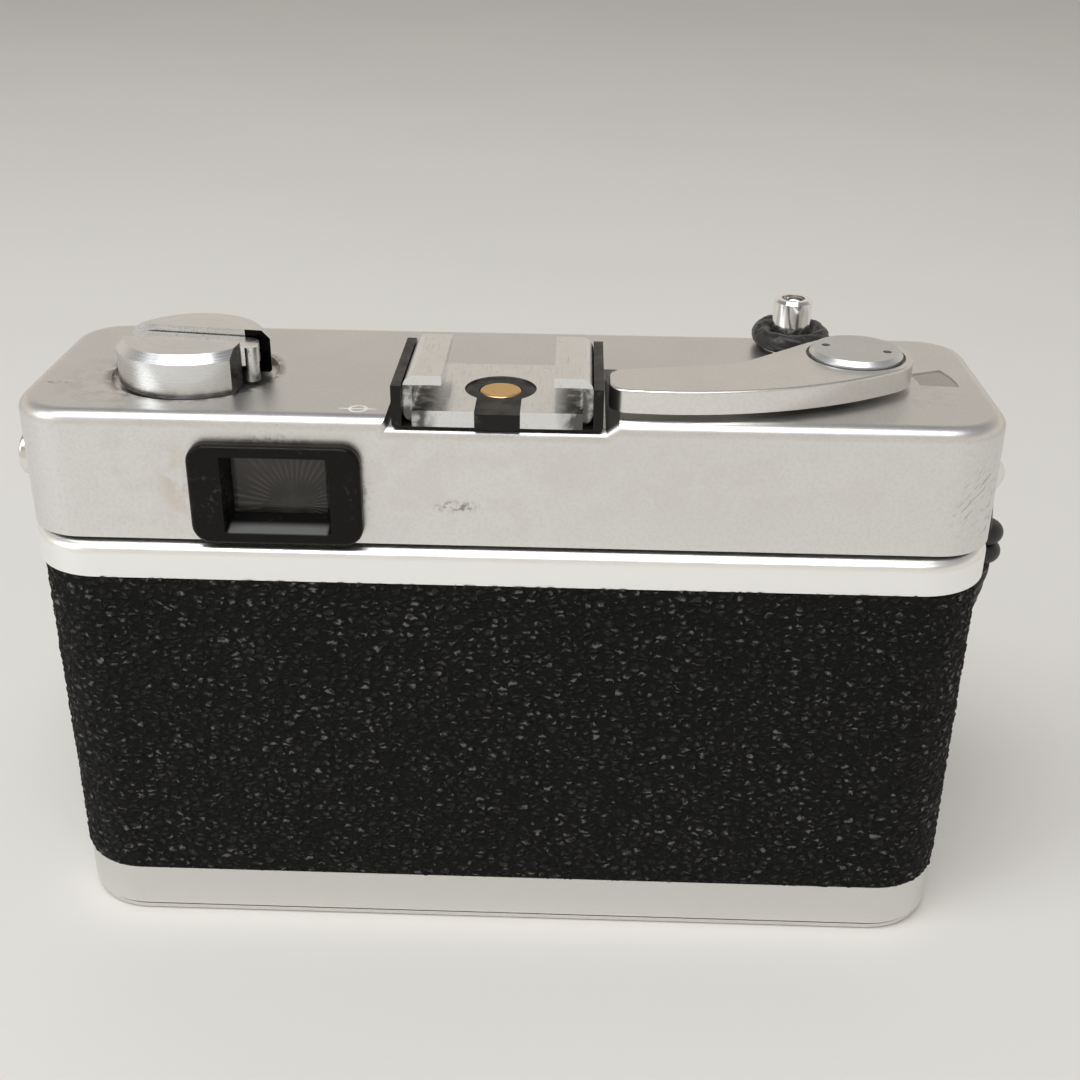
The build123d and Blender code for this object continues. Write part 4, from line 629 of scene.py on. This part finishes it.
def braid_look():
    p = Paint("black_braid")
    fibre = p.noise(0.12, 4, stretch=(1, 1, 0.3))
    base = p.mix(p.ramp(p.noise(0.8, 4), 0.35, 0.7), (0.006, 0.006, 0.0065), (0.014, 0.013, 0.013))
    base = p.mix(p.ramp(fibre, 0.64, 0.75, 0, 0.2), base, (0.07, 0.066, 0.062))
    return p.finish(base, 0.42, 0.0, p.bump(fibre, 0.025), Sheen_Weight=0.08)


braid = braid_look()
dress(nodes["strap_hitch"], braid)
strap_points = even_steps(centre_line, STEP_ALONG * MM)
strap = braided_tube("strap", strap_points, CORD_D / 2 * MM, POINTS_AROUND, PLAITS, PLAIT_PITCH * MM,
                     PLAIT_DEPTH * MM, braid, "camera")
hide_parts("strap_cord")


# ---- Thread in the release, for a cable ------------------------------------------------------
THREAD_PITCH = 0.5
THREAD_TURNS = 5
THREAD_ROOT_R = 1.47
THREAD_CREST_R = 1.22
THREAD_HALF = 0.22
FIRST_CREST = 0.5
STEPS = 32
thread_points = []
thread_faces = []
for i in range(THREAD_TURNS * STEPS + 1):
    angle = 2 * pi * i / STEPS
    middle = BUTTON_TOP - FIRST_CREST - THREAD_PITCH * i / STEPS
    for r, z in ((THREAD_ROOT_R, middle + THREAD_HALF), (THREAD_CREST_R, middle),
                 (THREAD_ROOT_R, middle - THREAD_HALF)):
        thread_points.append(Vector((BUTTON_AT[0] + r * cos(angle), BUTTON_AT[1] + r * sin(angle), z)) * MM)
    if i:
        a, b = 3 * i - 3, 3 * i
        thread_faces += [(a, a + 1, b + 1, b), (a + 1, a + 2, b + 2, b + 1)]
add_mesh("release_thread", thread_points, thread_faces, looks["shutter_button"], "release")


# ---- Leatherette ---------------------------------------------------------------------------
def pebbles(point):
    """Height from 0 to 1 of the grain: irregular wrinkled cells about 1.3 mm across."""
    p = Vector((point.x * 0.85, point.y, point.z * 1.15)) / MM
    bend = noise.noise_vector(p * 0.6) * 0.75
    q = (p + bend) * 0.82
    near = noise.voronoi(q, distance_metric="DISTANCE", exponent=2.5)[0]
    gap = min(1.0, (near[1] - near[0]) * 2.2)
    small = noise.noise(p * 2.1) * 0.32
    ridge = (1 - abs(noise.noise(p * 0.75 + Vector((7.0, 3.0, 1.0))) * 2.4)) * 0.25
    return min(1.25, gap ** 0.8 * 0.75 + small + ridge)


def covering(name, node_name, body, voxel):
    """The node's own shape, remeshed finely, with the grain pressed into its outer surface."""
    data = nodes[node_name].data.copy()
    made = bpy.data.objects.new(name, data)
    bpy.context.scene.collection.objects.link(made)
    remesh = made.modifiers.new("remesh", "REMESH")
    remesh.mode = "VOXEL"
    remesh.voxel_size = voxel * MM
    remesh.use_smooth_shade = True
    bpy.context.view_layer.update()
    graph = bpy.context.evaluated_depsgraph_get()
    fine = bpy.data.meshes.new_from_object(made.evaluated_get(graph))
    made.modifiers.clear()
    made.data = fine
    fine.update()
    normals = [v.normal.copy() for v in fine.vertices]
    for vertex, normal in zip(fine.vertices, normals):
        vertex.co += normal * (pebbles(vertex.co) - GRAIN_MEAN) * GRAIN_DEPTH * MM
    fine.polygons.foreach_set("use_smooth", [True] * len(fine.polygons))
    dress(made, looks["hide"])
    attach(made, body)
    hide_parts(node_name)


GRAIN_VOXEL = 0.27
GRAIN_DEPTH = 0.30
GRAIN_MEAN = 0.62
covering("door_hide", "door_leather", "door", GRAIN_VOXEL)
covering("front_hide", "front_leather", "camera", GRAIN_VOXEL)


# ---- Floor and light -----------------------------------------------------------------------
floor_data = bpy.data.meshes.new("floor")
FLOOR = 3.0
floor_z = cad_box[0][2]
floor_data.from_pydata([(-FLOOR, -FLOOR, floor_z), (FLOOR, -FLOOR, floor_z), (FLOOR, FLOOR, floor_z),
                        (-FLOOR, FLOOR, floor_z)], [], [(0, 1, 2, 3)])
floor = bpy.data.objects.new("floor", floor_data)
bpy.context.scene.collection.objects.link(floor)
floor_paint = Paint("table_top")
cloud = floor_paint.ramp(floor_paint.noise(180, 3), 0.3, 0.7)
tone = floor_paint.mix(cloud, (0.775, 0.77, 0.745), (0.755, 0.75, 0.73))
dress(floor, floor_paint.finish(tone, 0.55, 0.0, floor_paint.bump(floor_paint.noise(1.2, 3), 0.01)))

world = bpy.data.worlds.new("studio")
bpy.context.scene.world = world
world.use_nodes = True
sky = world.node_tree
background = sky.nodes["Background"]
direction = sky.nodes.new("ShaderNodeTexCoord")
split = sky.nodes.new("ShaderNodeSeparateXYZ")
sky.links.new(direction.outputs["Generated"], split.inputs[0])
rise = sky.nodes.new("ShaderNodeMapRange")
sky.links.new(split.outputs[2], rise.inputs[0])
rise.inputs[1].default_value = -0.1
rise.inputs[2].default_value = 0.95
shade = sky.nodes.new("ShaderNodeValToRGB")
sky.links.new(rise.outputs[0], shade.inputs[0])
below, zenith = shade.color_ramp.elements
below.color = (0.80, 0.75, 0.68, 1)
zenith.color = (0.24, 0.245, 0.26, 1)
shoulder = shade.color_ramp.elements.new(0.62)
shoulder.color = (0.40, 0.39, 0.37, 1)
horizon = shade.color_ramp.elements.new(0.45)
horizon.color = (0.80, 0.735, 0.645, 1)
sky.links.new(shade.outputs[0], background.inputs[0])
background.inputs[1].default_value = 0.9


def area(name, place, aim, size, power, color):
    data = bpy.data.lights.new(name, "AREA")
    data.shape = "RECTANGLE"
    data.size, data.size_y = size
    data.energy = power
    data.color = color
    lamp = bpy.data.objects.new(name, data)
    lamp.location = place
    lamp.rotation_euler = (Vector(aim) - Vector(place)).to_track_quat("-Z", "Y").to_euler()
    bpy.context.scene.collection.objects.link(lamp)


AIM = (0, 0, 0.04)
area("overhead", (0.10, 0.40, 1.05), AIM, (0.9, 0.5), 8.0, (1.0, 0.985, 0.96))
area("window", (0.95, 0.45, 0.70), AIM, (0.6, 0.8), 3.0, (0.93, 0.97, 1.0))
